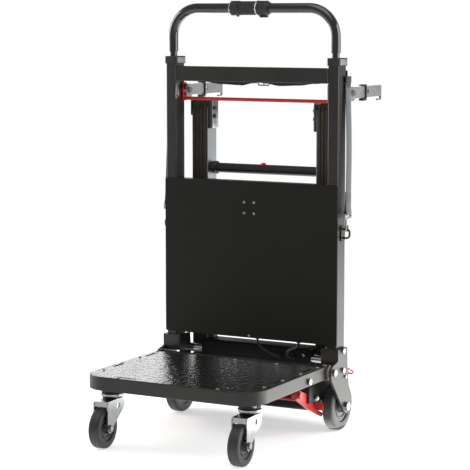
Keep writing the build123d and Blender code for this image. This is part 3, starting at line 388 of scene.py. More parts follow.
def abs_battery_case(tree, place, finish):
    """Moulded ABS battery case: dark grey, lightly mottled."""
    # The mottling is half a millimetre on the real case and is drawn at 1.5 to show
    skin = node(tree, "TexNoise", {"Vector": place, "Scale": per_mm(1.5), "Detail": 2.0})
    surfaced(tree, {"Roughness": 0.4, "IOR": 1.54}, tones=(skin, "#2b2c2e", "#393a3c"))


def pairs(*names):
    """Left and right nodes of each name."""
    return [name + side for name in names for side in ("_l", "_r")]


COATED = [
    (satin_powder_coat, pairs("upright", "side_plate") + [
        "crossbar", "body_housing", "base_brackets", "platform_rim", "hinge_tube", "caster_plates",
        "track_tube"]),
    (matt_panel_coat, ["front_panel"]),
    (grained_deck_coat, ["platform_plate"]),
    (gloss_powder_coat, ["handle_tube", "handle_legs"]),
    (black_anodised_case, ["drive_housing"]),
    (die_cast_alloy, ["gear_motor", "controller"]),
    (anodised_rail, pairs("track_rail") + ["drive_pulleys"]),
    (bright_zinc, pairs("caster_fork") + ["frame_bolts", "cross_rod"]),
    (dull_zinc, pairs("rear_arm") + ["arm_brackets", "snap_hooks"]),
    (polished_chrome, ["pivot_pins", "lock_pin"]),
    (black_oxide_steel, ["strap_fittings"]),
    (signal_red_coat, ["latch_bail", "brake_bail"]),
    (moulded_nylon, ["collars", "leg_guides", "control_clamps", "control_barrel", "drive_button",
                     "caster_heads", "idler_brackets", "track_idlers"]),
    (natural_nylon, ["hinge_bushes"]),
    (wheel_core_nylon, pairs("caster_core", "rear_core")),
    (tyre_rubber, pairs("caster_tyre", "rear_tyre")),
    (pressed_track_rubber, pairs("track_belt")),
    (moulded_rubber, pairs("arm_clip") + ["drive_cables"]),
    (polyester_webbing, pairs("strap")),
    (black_webbing, ["rear_belt"]),
    (abs_battery_case, ["batteries"]),
]


def finish_of(maker):
    """The material that a finish function makes, made once."""
    material = bpy.data.materials.get(maker.__name__)
    if not material:
        material, tree, place = blank(maker.__name__)
        maker(tree, place, bpy.context.scene.truck_finish)
    return material


# Shapes, drawn in millimetres with Y counted from the uprights' front face

def drawn(place):
    """Place in the frame as the shapes count it."""
    return Vector(place) / MM - Vector((0, FRONT, 0))


def edges(name):
    """Lowest and highest corner of a CAD node."""
    return [drawn(corner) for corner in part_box(name)]


def pivot(name):
    """Place that a joint turns about."""
    return drawn(next(joint["pos_m"] for joint in frame["joints"] if joint["name"] == name))


def shifted(corners, x=0.0, z=0.0):
    """Corners of a box that are counted from another piece's face."""
    return [Vector(corner) + Vector((x, 0, z)) for corner in corners]


def mirrored(points):
    """Points and their mirror images across the middle plane."""
    return [Vector((sign * x, y, z)) for sign in (1, -1) for x, y, z in points]


def smooth_through(points, x):
    """Value at x on a smooth line through sorted (x, value) points."""
    for (x0, y0), (x1, y1) in zip(points, points[1:]):
        if x <= x1:
            t = (x - x0) / (x1 - x0)
            return y0 + (y1 - y0) * t * t * (3 - 2 * t)
    return points[-1][1]


def spline_points(route):
    """Points along the smooth spline that a route's points control."""
    curve = bpy.data.curves.new("route", "CURVE")
    curve.dimensions = "3D"
    curve.resolution_u = 16
    spline = curve.splines.new("NURBS")
    spline.points.add(len(route) - 1)
    for point, place in zip(spline.points, route):
        point.co = (*place, 1)
    spline.order_u = 3
    spline.use_endpoint_u = True
    holder = bpy.data.objects.new("route", curve)
    bpy.context.scene.collection.objects.link(holder)
    mesh = bpy.data.meshes.new_from_object(holder)
    points = [vert.co.copy() for vert in mesh.vertices]
    bpy.data.objects.remove(holder)
    bpy.data.meshes.remove(mesh)
    bpy.data.curves.remove(curve)
    return points


def bridge(bm, low, high):
    """Faces between two rings, either of which may be a single point."""
    count = max(len(low), len(high))
    for k in range(count):
        n = (k + 1) % count
        corners = [low[k % len(low)], low[n % len(low)], high[n % len(high)], high[k % len(high)]]
        bm.faces.new(list(dict.fromkeys(corners)))


def turned(bm, base, axis, profile, hexed=(), closed=False, steps=0):
    """Surface turned about an axis from (height, radius) points; radius 0 closes an end."""
    steps = steps or bpy.context.scene.truck_fittings.steps
    axis = Vector(axis).normalized()
    u = axis.orthogonal().normalized()
    v = axis.cross(u)
    rings = []
    for index, (height, radius) in enumerate(profile):
        centre = Vector(base) + axis * height
        if radius == 0:
            rings.append([bm.verts.new(centre)])
            continue
        ring = []
        for k in range(steps):
            turn = 2 * pi * k / steps
            reach = radius
            if index in hexed:
                reach *= cos(pi / 6) / cos(turn % (pi / 3) - pi / 6)
            ring.append(bm.verts.new(centre + (u * cos(turn) + v * sin(turn)) * reach))
        rings.append(ring)
    for low, high in zip(rings, rings[1:] + (rings[:1] if closed else [])):
        bridge(bm, low, high)


def button_screw(bm, base, axis):
    """Round head with a hexagon socket."""
    fittings = bpy.context.scene.truck_fittings
    radius = fittings.screw_head / MM / 2
    rise = fittings.screw_rise / MM
    turned(bm, base, axis, [
        (-0.3, radius), (0.25 * rise, radius), (0.62 * rise, 0.9 * radius), (0.9 * rise, 0.68 * radius),
        (rise, 0.5 * radius), (rise, 0.42 * radius), (0.45 * rise, 0.40 * radius), (0.35 * rise, 0)],
        hexed=(5, 6), steps=24)


def hex_bolt(bm, base, axis, flats, height, washer=0.0, washer_thick=1.6):
    """Chamfered hexagon head, on a washer where its radius is given."""
    low = 0.0
    if washer:
        low = washer_thick
        turned(bm, base, axis, [(-0.2, 0), (-0.2, washer), (low - 0.3, washer), (low, washer - 0.4),
                                (low, 0)], steps=24)
    corner = flats / 2 / cos(pi / 6)
    top = low + height
    turned(bm, base, axis, [(low - 0.1, 0), (low - 0.1, corner), (top - 0.18 * flats / 2, corner),
                            (top, 0.9 * flats / 2), (top, 0)], hexed=(1, 2), steps=24)


def tube(bm, points, radius, steps=14):
    """Round bar along points, closed at both ends."""
    points = [Vector(p) for p in points]
    side = (points[1] - points[0]).normalized().orthogonal().normalized()
    turns = [2 * pi * k / steps for k in range(steps)]
    rings = [[bm.verts.new(points[0])]]
    last = len(points) - 1
    for index, point in enumerate(points):
        ahead = (points[min(index + 1, last)] - points[max(index - 1, 0)]).normalized()
        side = (side - ahead * side.dot(ahead)).normalized()
        other = ahead.cross(side)
        rings.append([bm.verts.new(point + (side * cos(turn) + other * sin(turn)) * radius)
                      for turn in turns])
    rings.append([bm.verts.new(points[-1])])
    for low, high in zip(rings, rings[1:]):
        bridge(bm, low, high)


def block(bm, low, high, bevel):
    """Box with bevelled edges."""
    made = bmesh.ops.create_cube(bm, size=1)["verts"]
    for vert in made:
        vert.co = Vector([low[i] + (vert.co[i] + 0.5) * (high[i] - low[i]) for i in range(3)])
    rims = dict.fromkeys(edge for vert in made for edge in vert.link_edges)
    bmesh.ops.bevel(bm, geom=list(rims), offset=bevel, segments=2, profile=0.6, affect="EDGES")


def side_blocks(bm, low, high, bevel):
    """Bevelled box on the right, and its mirror image on the left."""
    block(bm, low, high, bevel)
    block(bm, (-high[0], *low[1:]), (-low[0], *high[1:]), bevel)


def ribbon(bm, spine, trim=0.0):
    """Webbing along (point, width direction) stations, with rounded edges, narrower by the trim."""
    fittings = bpy.context.scene.truck_fittings
    width = fittings.strap_width / MM - trim
    thick = fittings.strap_thick / MM
    rim = 5    # points round each edge
    rings = []
    last = len(spine) - 1
    for index, (point, side) in enumerate(spine):
        ahead = (spine[min(index + 1, last)][0] - spine[max(index - 1, 0)][0]).normalized()
        side = (side - ahead * side.dot(ahead)).normalized()
        up = ahead.cross(side)
        ring = []
        for sign in (1, -1):
            for k in range(rim):
                turn = pi * (k / (rim - 1) - 0.5)
                out = width / 2 - thick / 2 + thick / 2 * cos(turn)
                ring.append(bm.verts.new(point + (side * out + up * thick / 2 * sin(turn)) * sign))
        rings.append(ring)
    for low, high in zip(rings, rings[1:]):
        bridge(bm, low, high)
    bm.faces.new(rings[0])
    bm.faces.new(rings[-1])


def placed(name, bm):
    """Object in the scene with the drawn mesh."""
    mesh = bpy.data.meshes.new(name)
    bm.to_mesh(mesh)
    bm.free()
    made = bpy.data.objects.new(name, mesh)
    bpy.context.scene.collection.objects.link(made)
    return made


def piece(name, bm, body, maker):
    """Turns drawn shapes into an object in the frame, which rides on a body where one is given."""
    sharp = radians(40)
    bm.transform(Matrix.Scale(MM, 4) @ Matrix.Translation((0, FRONT, 0)))
    bmesh.ops.recalc_face_normals(bm, faces=bm.faces)
    made = placed(name, bm)
    made.data.polygons.foreach_set("use_smooth", [True] * len(made.data.polygons))
    made.data.set_sharp_from_angle(angle=sharp)
    made.data.materials.append(finish_of(maker))
    if body:
        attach(made, body)
    return made


# Operators

class TRUCK_OT_finishes(Operator):
    """Give every CAD node the finish of its real material"""
    bl_idname = "truck.finishes"
    bl_label = "Finishes"

    def execute(self, context):
        for maker, names in COATED:
            for name in names:
                mesh = frame["nodes"][name].data
                mesh.materials.clear()
                mesh.materials.append(finish_of(maker))
        return {"FINISHED"}


class TRUCK_OT_panel_screws(Operator):
    """Add the button screws of the front panel"""
    bl_idname = "truck.panel_screws"
    bl_label = "Panel screws"

    def execute(self, context):
        face = edges("front_panel")[0].y
        upper = [(14, face, 543.7), (14, face, 571.6)]
        bottom = Vector((0, face, 228))
        bm = bmesh.new()
        for point in mirrored(upper) + [bottom]:
            button_screw(bm, point, FORWARD)
        piece("panel_screws", bm, "frame", dull_zinc)
        return {"FINISHED"}


class TRUCK_OT_deck_screws(Operator):
    """Add the button screws round the platform's deck"""
    bl_idname = "truck.deck_screws"
    bl_label = "Deck screws"

    # X and Y of the screws on the right, from the front round to the hinge
    right = [(136.5, -418.5), (222, -348), (226, -259), (228, -167), (230, -76), (117, -77)]
    middle = (1, -79)

    def execute(self, context):
        top = edges("platform_plate")[1].z
        bm = bmesh.new()
        for point in mirrored([(x, y, top) for x, y in self.right]) + [Vector((*self.middle, top))]:
            button_screw(bm, point, UP)
        piece("deck_screws", bm, "platform", dull_zinc)
        return {"FINISHED"}


class TRUCK_OT_gusset_bolts(Operator):
    """Add the bolts that hold each caster's head to its gusset"""
    bl_idname = "truck.gusset_bolts"
    bl_label = "Gusset bolts"

    offset = 27         # each way from the caster's swivel
    head_plate = 3      # thickness of the plate that the bolts hold

    def execute(self, context):
        swivel = pivot("caster_swivel_r")
        under = edges("caster_heads")[1].z - self.head_plate
        offsets = (-self.offset, self.offset)
        bm = bmesh.new()
        for point in mirrored([(swivel.x + x, swivel.y + y, under) for x in offsets for y in offsets]):
            hex_bolt(bm, point, DOWN, flats=8, height=3.6, washer=5.5)
        piece("gusset_bolts", bm, "platform", bright_zinc)
        return {"FINISHED"}


class TRUCK_OT_swivel_seals(Operator):
    """Add the rubber seal on the neck of each caster's swivel"""
    bl_idname = "truck.swivel_seals"
    bl_label = "Swivel seals"

    foot = 116.2
    section = [(0, 21.9), (0, 23.4), (0.8, 24.2), (3.2, 24.2), (4.1, 23.4), (4.1, 21.9)]

    def execute(self, context):
        for mark in ("r", "l"):
            swivel = pivot("caster_swivel_" + mark)
            bm = bmesh.new()
            turned(bm, (swivel.x, swivel.y, self.foot), UP, self.section, closed=True, steps=48)
            piece("swivel_seal_" + mark, bm, "caster_" + mark, moulded_rubber)
        return {"FINISHED"}


class TRUCK_OT_control_trim(Operator):
    """Add the bright rings and the clamp screw of the handle's control"""
    bl_idname = "truck.control_trim"
    bl_label = "Control trim"

    # Sections of the rings, as places along the grip and radii
    clamp_ring = [(-62.5, 12.5), (-62.5, 14.8), (-61.8, 15.6), (-59.6, 15.9), (-59.1, 15.6), (-59.1, 12.5)]
    barrel_ring = [(14.4, 18.4), (14.4, 18.9), (14.9, 19.3), (16.6, 19.3), (17.1, 18.9), (17.1, 18.4)]
    socket_head = [(-1.0, 0), (-1.0, 3.2), (2.6, 3.2), (3.2, 2.6), (3.2, 1.5), (1.6, 1.4), (1.6, 0)]
    screw_seat = Vector((-42, 0, -18.3))    # from the middle of the grip

    def execute(self, context):
        grip = pivot("direction_twist")
        bm = bmesh.new()
        for section in (self.clamp_ring, self.barrel_ring):
            turned(bm, grip, (1, 0, 0), section, closed=True, steps=48)
        piece("control_rings", bm, "handle", polished_chrome)
        bm = bmesh.new()
        turned(bm, grip + self.screw_seat, DOWN, self.socket_head, hexed=(4, 5), steps=24)
        piece("clamp_screw", bm, "handle", black_oxide_steel)
        return {"FINISHED"}


class TRUCK_OT_straps(Operator):
    """Weave the strap on each side, with its stiff end at the top and its stitches above the hook"""
    bl_idname = "truck.straps"
    bl_label = "Straps"

    top = Vector((249.6, 48.5, 879))
    foot = Vector((260.2, 32.4, 566))
    bow = 2.2           # how far the strap stands out between them
    stations = 28
    # Round the snap hook's bar and back up behind the strap
    loop = [(261.6, 32.2, 558), (261.9, 32, 552.5), (260.4, 32, 549.9), (258, 32, 549.4),
            (255.6, 32, 549.9), (254.1, 32, 552.5), (254.4, 32.2, 558), (256.6, 32.4, 567),
            (257.9, 33, 578), (257.6, 34.4, 608)]
    # Rounded pad at the strap's top, as (height, radius)
    pad = [(-2.2, 0), (-2.2, 12), (-1.6, 14.4), (0, 15), (1.6, 14.4), (2.2, 12), (2.2, 0)]
    # Corners of the stiff end, from the strap's top
    stiff_end = (-2.3, -15.3, -0.5), (2.3, 15.3, 14.5)
    # Points of a stitch, from its lower end
    stitch = [(0, 0, 0), (0.3, 0.6, 1.6), (0, 1.1, 3.4)]
    stitch_face = 261.2
    stitch_rows = (24, 41)
    stitch_heights = range(583, 607, 6)

    def execute(self, context):
        for sign, mark in SIDES:
            self.webbing(sign, mark)
            self.end(sign, mark)
            self.stitches(sign, mark)
        return {"FINISHED"}

    def webbing(self, sign, mark):
        """Strap from the upright's top, down and round the snap hook's bar, and back on itself."""
        line = []
        for k in range(self.stations + 1):
            t = k / self.stations
            out = self.bow * sin(pi * t) ** 2
            line.append(self.top.lerp(self.foot, t) + Vector((out, 0, 0)))
        spine = [(Vector((sign * x, y, z)), Vector(BACK)) for x, y, z in line + self.loop]
        bm = bmesh.new()
        ribbon(bm, spine)
        strap = piece("webbing_" + mark, bm, "frame", polyester_webbing)
        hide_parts("strap_" + mark)

    def end(self, sign, mark):
        """Stiff doubled end that hangs on the upright's fitting."""
        x, y, z = self.top
        place = Vector((sign * x, y, z))
        bm = bmesh.new()
        turned(bm, place, (sign, 0, 0), self.pad)
        block(bm, *[place + Vector(corner) for corner in self.stiff_end], bevel=1.4)
        piece("strap_end_" + mark, bm, "frame", black_webbing)

    def stitches(self, sign, mark):
        """Two rows of slanted stitches where the strap is sewn back on itself."""
        bm = bmesh.new()
        for y in self.stitch_rows:
            for z in self.stitch_heights:
                line = [(sign * (self.stitch_face + out), y + back, z + rise)
                        for out, back, rise in self.stitch]
                tube(bm, line, radius=0.5, steps=6)
        piece("strap_stitch_" + mark, bm, "frame", moulded_rubber)


class TRUCK_OT_belt(Operator):
    """Weave the belt behind the crossbar, with its tail and its buckle"""
    bl_idname = "truck.belt"
    bl_label = "Belt"

    # Height of the belt's middle line at distances from the truck's middle
    heights = [(0, 888.0), (20, 886.0), (58, 880.5), (110, 882.5), (155, 887.5), (205, 891.5),
               (246.5, 893.0)]
    spacing = 4.25
    stations = 58       # each side of the middle
    back = 51.3         # Y of the belt at its ends
    lean = 0.08         # how far it leans back for each millimetre of sag
    tilt = 0.06         # of its upper edge forward, for each millimetre of lean
    # The tail starts under the buckle, and its tip droops below the belt
    tail_start = 16
    tail_spacing = 4
    tail_stations = 18
    tail_trim = 1       # off its width
    tail_droop = 1.6
    tail_gap = 2.9      # behind the belt at the tail's ends
    tail_bulge = 1.2    # more of that gap halfway along

    def execute(self, context):
        bm = bmesh.new()
        ribbon(bm, self.sagging())
        ribbon(bm, self.tail(), self.tail_trim)
        belt = piece("webbing_rear", bm, "frame", black_webbing)
        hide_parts("rear_belt")
        self.buckle()
        return {"FINISHED"}

    def sagging(self):
        """Stations of the belt, which hangs lowest either side of its buckle and leans back there."""
        end = self.heights[-1][1]
        spine = []
        for k in range(-self.stations, self.stations + 1):
            x = k * self.spacing
            height = smooth_through(self.heights, abs(x))
            lean = self.lean * (end - height)
            spine.append((Vector((x, self.back + lean, height)), Vector((0, -self.tilt * lean, 1))))
        return spine

    def tail(self):
        """Stations of the loose tail, which lies behind the belt on the left and droops to its tip."""
        spine = []
        across = Vector((0, 0.05, 1))
        for k in range(self.tail_stations + 1):
            x = self.tail_start - self.tail_spacing * k
            t = k / self.tail_stations
            height = smooth_through(self.heights, abs(x)) - self.tail_droop * t ** 2
            gap = self.tail_gap + self.tail_bulge * sin(pi * t)
            spine.append((Vector((x, self.back + gap, height)), across))
        return spine

    def buckle(self):
        """Bright three bar slide on the belt."""
        left, right = -6, 26
        low, high = 866.5, 903.0
        corner = 4
        face = 56.8
        loop = []
        for x, z, start in ((right - corner, low + corner, -90), (right - corner, high - corner, 0),
                            (left + corner, high - corner, 90), (left + corner, low + corner, 180)):
            for k in range(7):
                turn = radians(start + 15 * k)
                loop.append((x + corner * cos(turn), face, z + corner * sin(turn)))
        middle = (left + right) / 2
        bm = bmesh.new()
        tube(bm, loop + loop[:1], radius=1.9, steps=12)
        tube(bm, [(middle, face, z) for z in (low, (low + high) / 2, high)], radius=1.7, steps=12)
        piece("belt_buckle", bm, "frame", bright_zinc)


class TRUCK_OT_cables(Operator):
    """Run the two drive cables from the housing's floor to the drive case, with their glands"""
    bl_idname = "truck.cables"
    bl_label = "Cables"

    routes = {
        "a": [(16, 12, 225), (16, 12, 209), (30, 12.5, 196), (49, 13, 187), (65, 14.5, 181),
              (72, 21, 179.5), (72, 28, 179.5)],
        "b": [(137, 6, 225), (137, 6, 212), (124, 6, 204.5), (109, 6, 199), (101, 8, 188),
              (107, 13, 180.5), (112, 19, 179.5), (112, 28, 179.5)],
    }
    # Hexagon nut and tapered neck, as (height, radius)
    gland = [(-0.5, 0), (-0.5, 6.5), (3, 6.5), (3.6, 5.9), (5.5, 4.4), (5.5, 0)]

    def execute(self, context):
        diameter = context.scene.truck_fittings.cable
        for mark, route in self.routes.items():
            line = spline_points(route)
            bm = bmesh.new()
            tube(bm, line, diameter / MM / 2, steps=16)
            cable = piece("drive_cable_" + mark, bm, None, moulded_rubber)
            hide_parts("drive_cables")
            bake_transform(cable)
            for name, body, place, axis in (("housing_gland_", "frame", route[0], DOWN),
                                            ("case_gland_", "track_unit", route[-1], FORWARD)):
                bm = bmesh.new()
                turned(bm, place, axis, self.gland, hexed=(1, 2))
                piece(name + mark, bm, body, moulded_nylon)
        return {"FINISHED"}


class TRUCK_OT_rail_screws(Operator):
    """Add the button screws along the outside of the track rails"""
    bl_idname = "truck.rail_screws"
    bl_label = "Rail screws"

    heights = (140, 300, 460, 620, 730)

    def execute(self, context):
        low, high = edges("track_rail_r")
        middle = (low.y + high.y) / 2
        bm = bmesh.new()
        for point in mirrored([(high.x, middle, z) for z in self.heights]):
            button_screw(bm, point, (point.x, 0, 0))
        piece("rail_screws", bm, "track_unit", black_oxide_steel)
        return {"FINISHED"}


class TRUCK_OT_tube_knob(Operator):
    """Add the red knob of the clamp ring on the tracks' cross tube"""
    bl_idname = "truck.tube_knob"
    bl_label = "Tube knob"

    seat = (-3, 80.5, 659.5)
    lean = (0, -0.28, 0.96)
    profile = [(-2, 0), (-2, 5), (1, 5), (1.4, 6.6), (3, 7.2), (4.6, 6.8), (5.8, 5), (6.2, 0)]

    def execute(self, context):
        bm = bmesh.new()
        turned(bm, self.seat, self.lean, self.profile)
        piece("tube_knob", bm, "track_unit", signal_red_coat)
        return {"FINISHED"}


class TRUCK_OT_tensioner_trim(Operator):
    """Add the bright plate and the bolts on the inside of each track's tensioner"""
    bl_idname = "truck.tensioner_trim"
    bl_label = "Tensioner trim"

    # Corners of the plate on the right, and the bolts on its inner face
    plate = (146, 68.4, 753), (148, 99.5, 824)
    bolts = [(146, 77.1, 804), (146, 77.1, 783)]

    def execute(self, context):
        bm = bmesh.new()
        side_blocks(bm, *self.plate, bevel=0.6)
        piece("tension_plates", bm, "track_unit", bright_zinc)
        bm = bmesh.new()
        for point in mirrored(self.bolts):
            hex_bolt(bm, point, (-point.x, 0, 0), flats=11, height=4.5)
        piece("tension_bolts", bm, "track_unit", black_oxide_steel)
        return {"FINISHED"}


class TRUCK_OT_case_screws(Operator):
    """Add the button screws on the front and the back of the drive case"""
    bl_idname = "truck.case_screws"
    bl_label = "Case screws"

    def execute(self, context):
        low, high = edges("drive_housing")
        front = (140.3, low.y, 185.5)
        rear = [(128, high.y, 64), (128, high.y, 150)]
        bm = bmesh.new()
        button_screw(bm, front, FORWARD)
        for point in mirrored(rear):
            button_screw(bm, point, BACK)
        piece("case_screws", bm, "track_unit", bright_zinc)
        return {"FINISHED"}


class TRUCK_OT_case_lid(Operator):
    """Add the drive case's lid and the connector box on its left end"""
    bl_idname = "truck.case_lid"
    bl_label = "Case lid"

    # Corners, with heights from the top of the case
    lid = (-148, 33, -0.4), (148, 83, 2.6)
    connector = (-148, 44, 2.2), (-130, 66, 14.5)

    def execute(self, context):
        top = edges("drive_housing")[1].z
        bm = bmesh.new()
        block(bm, *shifted(self.lid, z=top), bevel=0.9)
        piece("case_lid", bm, "track_unit", black_anodised_case)
        bm = bmesh.new()
        block(bm, *shifted(self.connector, z=top), bevel=2.0)
        piece("case_connector", bm, "track_unit", moulded_nylon)
        return {"FINISHED"}


class TRUCK_OT_crossbar_welds(Operator):
    """Lay the weld beads between the crossbar and the uprights"""
    bl_idname = "truck.crossbar_welds"
    bl_label = "Crossbar welds"

    bead = [(0, 0), (0.5, 1.3), (2.2, 1.9), (3.9, 1.3), (4.4, 0)]
    inset = 0.6         # from the crossbar's front and back
    start = 0.8         # above its lower face
    spacing = 3
    count = 12

    def execute(self, context):
        low, high = edges("crossbar")
        bm = bmesh.new()
        for sign in (1, -1):
            for y in (low.y + self.inset, high.y - self.inset):
                for k in range(self.count):
                    foot = low.z + self.start + self.spacing * k
                    turned(bm, (sign * high.x, y, foot), UP, self.bead, steps=12)
        piece("crossbar_welds", bm, "frame", satin_powder_coat)
        return {"FINISHED"}


class TRUCK_OT_upright_plates(Operator):
    """Add the thin plates on the collars' sides and the wear plates inside the uprights"""
    bl_idname = "truck.upright_plates"
    bl_label = "Upright plates"

    collar_wall = 3     # how far the collar stands out from the upright's inner side
    # Corners on the right, with X from the side that carries the plate
    collar_plate = (-0.8, 5, 922), (0.8, 45, 936.5)
    wear_plate = (-1.4, 0.5, 830), (0.2, 17.5, 874)

    def execute(self, context):
        inner = edges("upright_r")[0].x
        outer = edges("collars")[1].x
        bm = bmesh.new()
        for x in (inner - self.collar_wall, outer):
            side_blocks(bm, *shifted(self.collar_plate, x=x), bevel=0.5)
        piece("collar_plates", bm, "frame", die_cast_alloy)
        bm = bmesh.new()
        side_blocks(bm, *shifted(self.wear_plate, x=inner), bevel=0.5)
        piece("wear_plates", bm, "frame", bright_zinc)
        return {"FINISHED"}


class TRUCK_OT_pivot_caps(Operator):
    """Add the caps on the pivots of the latch bail and of the brake"""
    bl_idname = "truck.pivot_caps"
    bl_label = "Pivot caps"

    # X of each cap's foot on the right, and its (height, radius) points
    bail_x = 210.4
    bail_cap = [(0, 0), (0, 7.4), (4.2, 7.4), (5.4, 6.2), (5.4, 0)]
    brake_x = 213
    brake_cap = [(-0.5, 0), (-0.5, 6.9), (1.2, 6.9), (3.4, 6.0), (5.0, 4.2), (6.0, 1.8), (6.2, 0)]

    def execute(self, context):
        bail = pivot("bail_swing")
        brake = pivot("brake_press")
        bm = bmesh.new()
        for point in mirrored([(self.bail_x, bail.y, bail.z)]):
            turned(bm, point, (-point.x, 0, 0), self.bail_cap)
        piece("bail_caps", bm, "frame", moulded_nylon)
        bm = bmesh.new()
        for point in mirrored([(self.brake_x, brake.y, brake.z)]):
            turned(bm, point, (point.x, 0, 0), self.brake_cap)
        piece("brake_caps", bm, "frame", bright_zinc)
        return {"FINISHED"}


class TRUCK_OT_bail_bolts(Operator):
    """Add the stop bolt and the small screws on each end of the latch bail"""
    bl_idname = "truck.bail_bolts"
    bl_label = "Bail bolts"

    stop = (211, 39, 841)
    screw_x = 213
    screw_heights = (861.4, 840.7)
    screw = [(-0.3, 0), (-0.3, 1.9), (0.9, 1.9), (1.3, 1.4), (1.3, 0)]

    def execute(self, context):
        face = edges("latch_bail")[0].y
        bm = bmesh.new()
        for point in mirrored([self.stop]):
            hex_bolt(bm, point, (-point.x, 0, 0), flats=8, height=3)
        for point in mirrored([(self.screw_x, face, z) for z in self.screw_heights]):
            turned(bm, point, FORWARD, self.screw, steps=16)
        piece("bail_bolts", bm, "bail", black_oxide_steel)
        return {"FINISHED"}


class TRUCK_OT_ring_sleeve(Operator):
    """Slip the red sleeve over the lock pin's pull ring"""
    bl_idname = "truck.ring_sleeve"
    bl_label = "Ring sleeve"

    pin_end = Vector((239, 88, 147))
    radius = 9
    half_turn = 145     # degrees that the sleeve covers each way from the ring's far side
    stations = 39

    def execute(self, context):
        # The ring hangs from the pin at 45 degrees
        slope = sqrt(0.5)
        line = []
        for k in range(self.stations + 1):
            turn = radians(self.half_turn * (2 * k / self.stations - 1))
            drop = self.radius * (1 + cos(turn)) * slope
            line.append(self.pin_end + Vector((self.radius * sin(turn), drop, -drop)))
        bm = bmesh.new()
        tube(bm, line, radius=2.3)
        piece("ring_sleeve", bm, "lock", signal_red_coat)
        return {"FINISHED"}


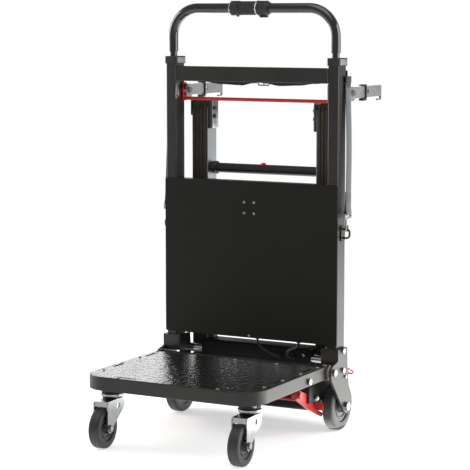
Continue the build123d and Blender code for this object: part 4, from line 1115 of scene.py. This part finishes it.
class TRUCK_OT_stage(Operator):
    """Set up the floor, the soft studio light and the camera"""
    bl_idname = "truck.stage"
    bl_label = "Stage"

    def execute(self, context):
        stage = context.scene.truck_stage
        context.scene.view_settings.view_transform = "Standard"
        self.floor(stage)
        self.world(context.scene)
        # Its right edge ends the bright part of what the deck mirrors
        self.softbox("rear_softbox", (-1.7, 1.32, 0.65), (0, 0, 0.65), (1.68, 0.75), stage.rear_light)
        aim = (0, 0, 0.4)
        self.softbox("left_softbox", (-2.2, -0.4, 1.1), aim, (1.3, 1.9), stage.left_light)
        self.softbox("right_softbox", (2.1, 0.8, 1.1), aim, (1.9, 1.9), stage.right_light)
        self.softbox("top_softbox", (0.3, -0.9, 3.1), aim, (2.4, 2.4), stage.top_light)
        # Laid on the floor behind on the right, where the sides of the truck mirror it
        bounce = self.softbox("low_softbox", (1.1, 1.75, 0.01), (1.1, 1.75, 1.01), (1.5, 3.8),
                              stage.low_light)
        bounce.rotation_euler = (pi, 0, radians(-25))
        self.camera(context.scene, stage)
        return {"FINISHED"}

    def floor(self, stage):
        """Round floor, wide enough to fill every view."""
        bm = bmesh.new()
        bmesh.ops.create_circle(bm, cap_ends=True, segments=96, radius=14)
        floor = placed("floor", bm)
        floor.data.materials.append(self.floor_paint(stage))

    def floor_paint(self, stage):
        """Pale paint that keeps the truck's shadow, with a painted shadow under its rear, and fades to
        white away from it.
        """
        material, tree, place = blank("studio_floor")
        away = node(tree, "VectorMath", {0: place}, operation="LENGTH").outputs["Value"]
        fade = node(tree, "MapRange", {"Value": away, "From Min": 0.6, "From Max": 2.0},
                    interpolation_type="SMOOTHSTEP")
        seen = self.background(tree, place)
        # The floor under the truck stays white in the fittings that mirror it
        glossy = node(tree, "LightPath").outputs["Is Glossy Ray"]
        under = node(tree, "MapRange", {"Value": away, "From Min": 0.45, "From Max": 0.7, "To Min": 0.62,
                                        "To Max": 0.0})
        under = node(tree, "Math", {0: under, 1: glossy}, operation="MULTIPLY")
        # A painted shadow: the floor's glow is weaker in a patch under the truck's rear, and the rest of
        # the floor is white
        rear = node(tree, "VectorMath", {0: place, 1: (0, 0.11, 0)}, operation="SUBTRACT")
        rear = node(tree, "VectorMath", {0: rear, 1: (0.4, 1, 1)}, operation="MULTIPLY")
        rear = node(tree, "VectorMath", {0: rear}, operation="LENGTH").outputs["Value"]
        # Painted shadow: glow of 0.44 under the truck's rear, rising to 0.62 away from it
        glow_with_painted_shadow = node(tree, "MapRange", {"Value": rear, "From Min": 0.04, "From Max": 0.2, "To Min": 0.44,
                                       "To Max": 0.62})
        glow_with_painted_shadow = node(tree, "Math", {0: seen, 1: glow_with_painted_shadow}, operation="MULTIPLY")
        glow_with_painted_shadow = node(tree, "Math", {0: glow_with_painted_shadow, 1: under}, operation="MAXIMUM")
        glow = node(tree, "Emission", {"Color": (1, 1, 1, 1), "Strength": glow_with_painted_shadow})
        paint = node(tree, "BsdfDiffuse", {"Color": stage.floor})
        near = node(tree, "AddShader", {0: paint, 1: glow})
        white = node(tree, "Emission", {"Color": (1, 1, 1, 1), "Strength": 1.0})
        share = node(tree, "Math", {0: fade, 1: seen}, operation="MULTIPLY")
        whole = node(tree, "MixShader", {0: share, 1: near, 2: white})
        node(tree, "OutputMaterial", {"Surface": whole})
        return material

    def background(self, tree, place):
        """Share of the white background that a ray sees: all for the camera, the left rear for mirrors."""
        rays = node(tree, "LightPath").outputs
        lean = node(tree, "VectorMath", {0: place, 1: (-0.85, 0.5, 0)}, operation="DOT_PRODUCT")
        lean = lean.outputs["Value"]
        behind = node(tree, "MapRange", {"Value": lean, "From Min": 0.8, "From Max": 0.97})
        mirror = node(tree, "Math", {0: rays["Is Glossy Ray"], 1: rays["Is Transmission Ray"]},
                      operation="MAXIMUM")
        mirror = node(tree, "Math", {0: mirror, 1: behind}, operation="MULTIPLY")
        return node(tree, "Math", {0: mirror, 1: rays["Is Camera Ray"]}, operation="MAXIMUM")

    def world(self, scene):
        """White surroundings behind the truck, dimmer as a light and towards the camera."""
        world = bpy.data.worlds.new("studio")
        world.use_nodes = True
        tree = world.node_tree
        tree.nodes.clear()
        towards = node(tree, "TexCoord").outputs["Generated"]
        glossy = node(tree, "LightPath").outputs["Is Glossy Ray"]
        fill = node(tree, "MapRange", {"Value": glossy, "To Min": 0.4, "To Max": 0.25})
        level = node(tree, "MapRange", {"Value": self.background(tree, towards), "To Min": fill})
        sky = node(tree, "Background", {"Color": (1, 1, 1, 1), "Strength": level})
        node(tree, "OutputWorld", {"Surface": sky})
        scene.world = world

    def softbox(self, name, place, target, size, watts):
        """Rectangular light that faces a target and stays out of the picture."""
        light = bpy.data.lights.new(name, "AREA")
        light.shape = "RECTANGLE"
        light.size, light.size_y = size
        light.energy = watts
        lamp = bpy.data.objects.new(name, light)
        lamp.location = place
        lamp.rotation_euler = (Vector(place) - Vector(target)).to_track_quat("Z", "Y").to_euler()
        lamp.visible_camera = False
        bpy.context.scene.collection.objects.link(lamp)
        return lamp

    def camera(self, scene, stage):
        """Camera at the photograph's angle."""
        data = bpy.data.cameras.new("camera")
        data.lens = stage.focal
        data.sensor_width = 36
        data.clip_end = 60
        camera = bpy.data.objects.new("camera", data)
        camera.location = stage.place
        camera.rotation_euler = (pi / 2 - stage.pitch, 0, stage.yaw)
        scene.collection.objects.link(camera)
        scene.camera = camera


STEPS = [TRUCK_OT_finishes, TRUCK_OT_panel_screws, TRUCK_OT_deck_screws, TRUCK_OT_gusset_bolts,
         TRUCK_OT_swivel_seals, TRUCK_OT_control_trim, TRUCK_OT_straps, TRUCK_OT_belt, TRUCK_OT_cables,
         TRUCK_OT_rail_screws, TRUCK_OT_tube_knob, TRUCK_OT_tensioner_trim, TRUCK_OT_case_screws,
         TRUCK_OT_case_lid, TRUCK_OT_crossbar_welds, TRUCK_OT_upright_plates, TRUCK_OT_pivot_caps,
         TRUCK_OT_bail_bolts, TRUCK_OT_ring_sleeve, TRUCK_OT_stage]


class TRUCK_PT_panel(Panel):
    """Steps that dress the hand truck"""
    bl_idname = "TRUCK_PT_panel"
    bl_label = "Hand truck"
    bl_space_type = "VIEW_3D"
    bl_region_type = "UI"
    bl_category = "Hand truck"

    def draw(self, context):
        for step in STEPS:
            self.layout.operator(step.bl_idname)


GROUPS = {"truck_finish": TruckFinish, "truck_fittings": TruckFittings, "truck_stage": TruckStage}
CLASSES = (*GROUPS.values(), *STEPS, TRUCK_PT_panel)


def register():
    for made in CLASSES:
        bpy.utils.register_class(made)
    for name, group in GROUPS.items():
        setattr(bpy.types.Scene, name, PointerProperty(type=group))


def unregister():
    for name in GROUPS:
        delattr(bpy.types.Scene, name)
    for made in reversed(CLASSES):
        bpy.utils.unregister_class(made)


def main():
    register()
    for step in STEPS:
        family, action = step.bl_idname.split(".")
        getattr(getattr(bpy.ops, family), action)()


if __name__ == "__main__":
    main()
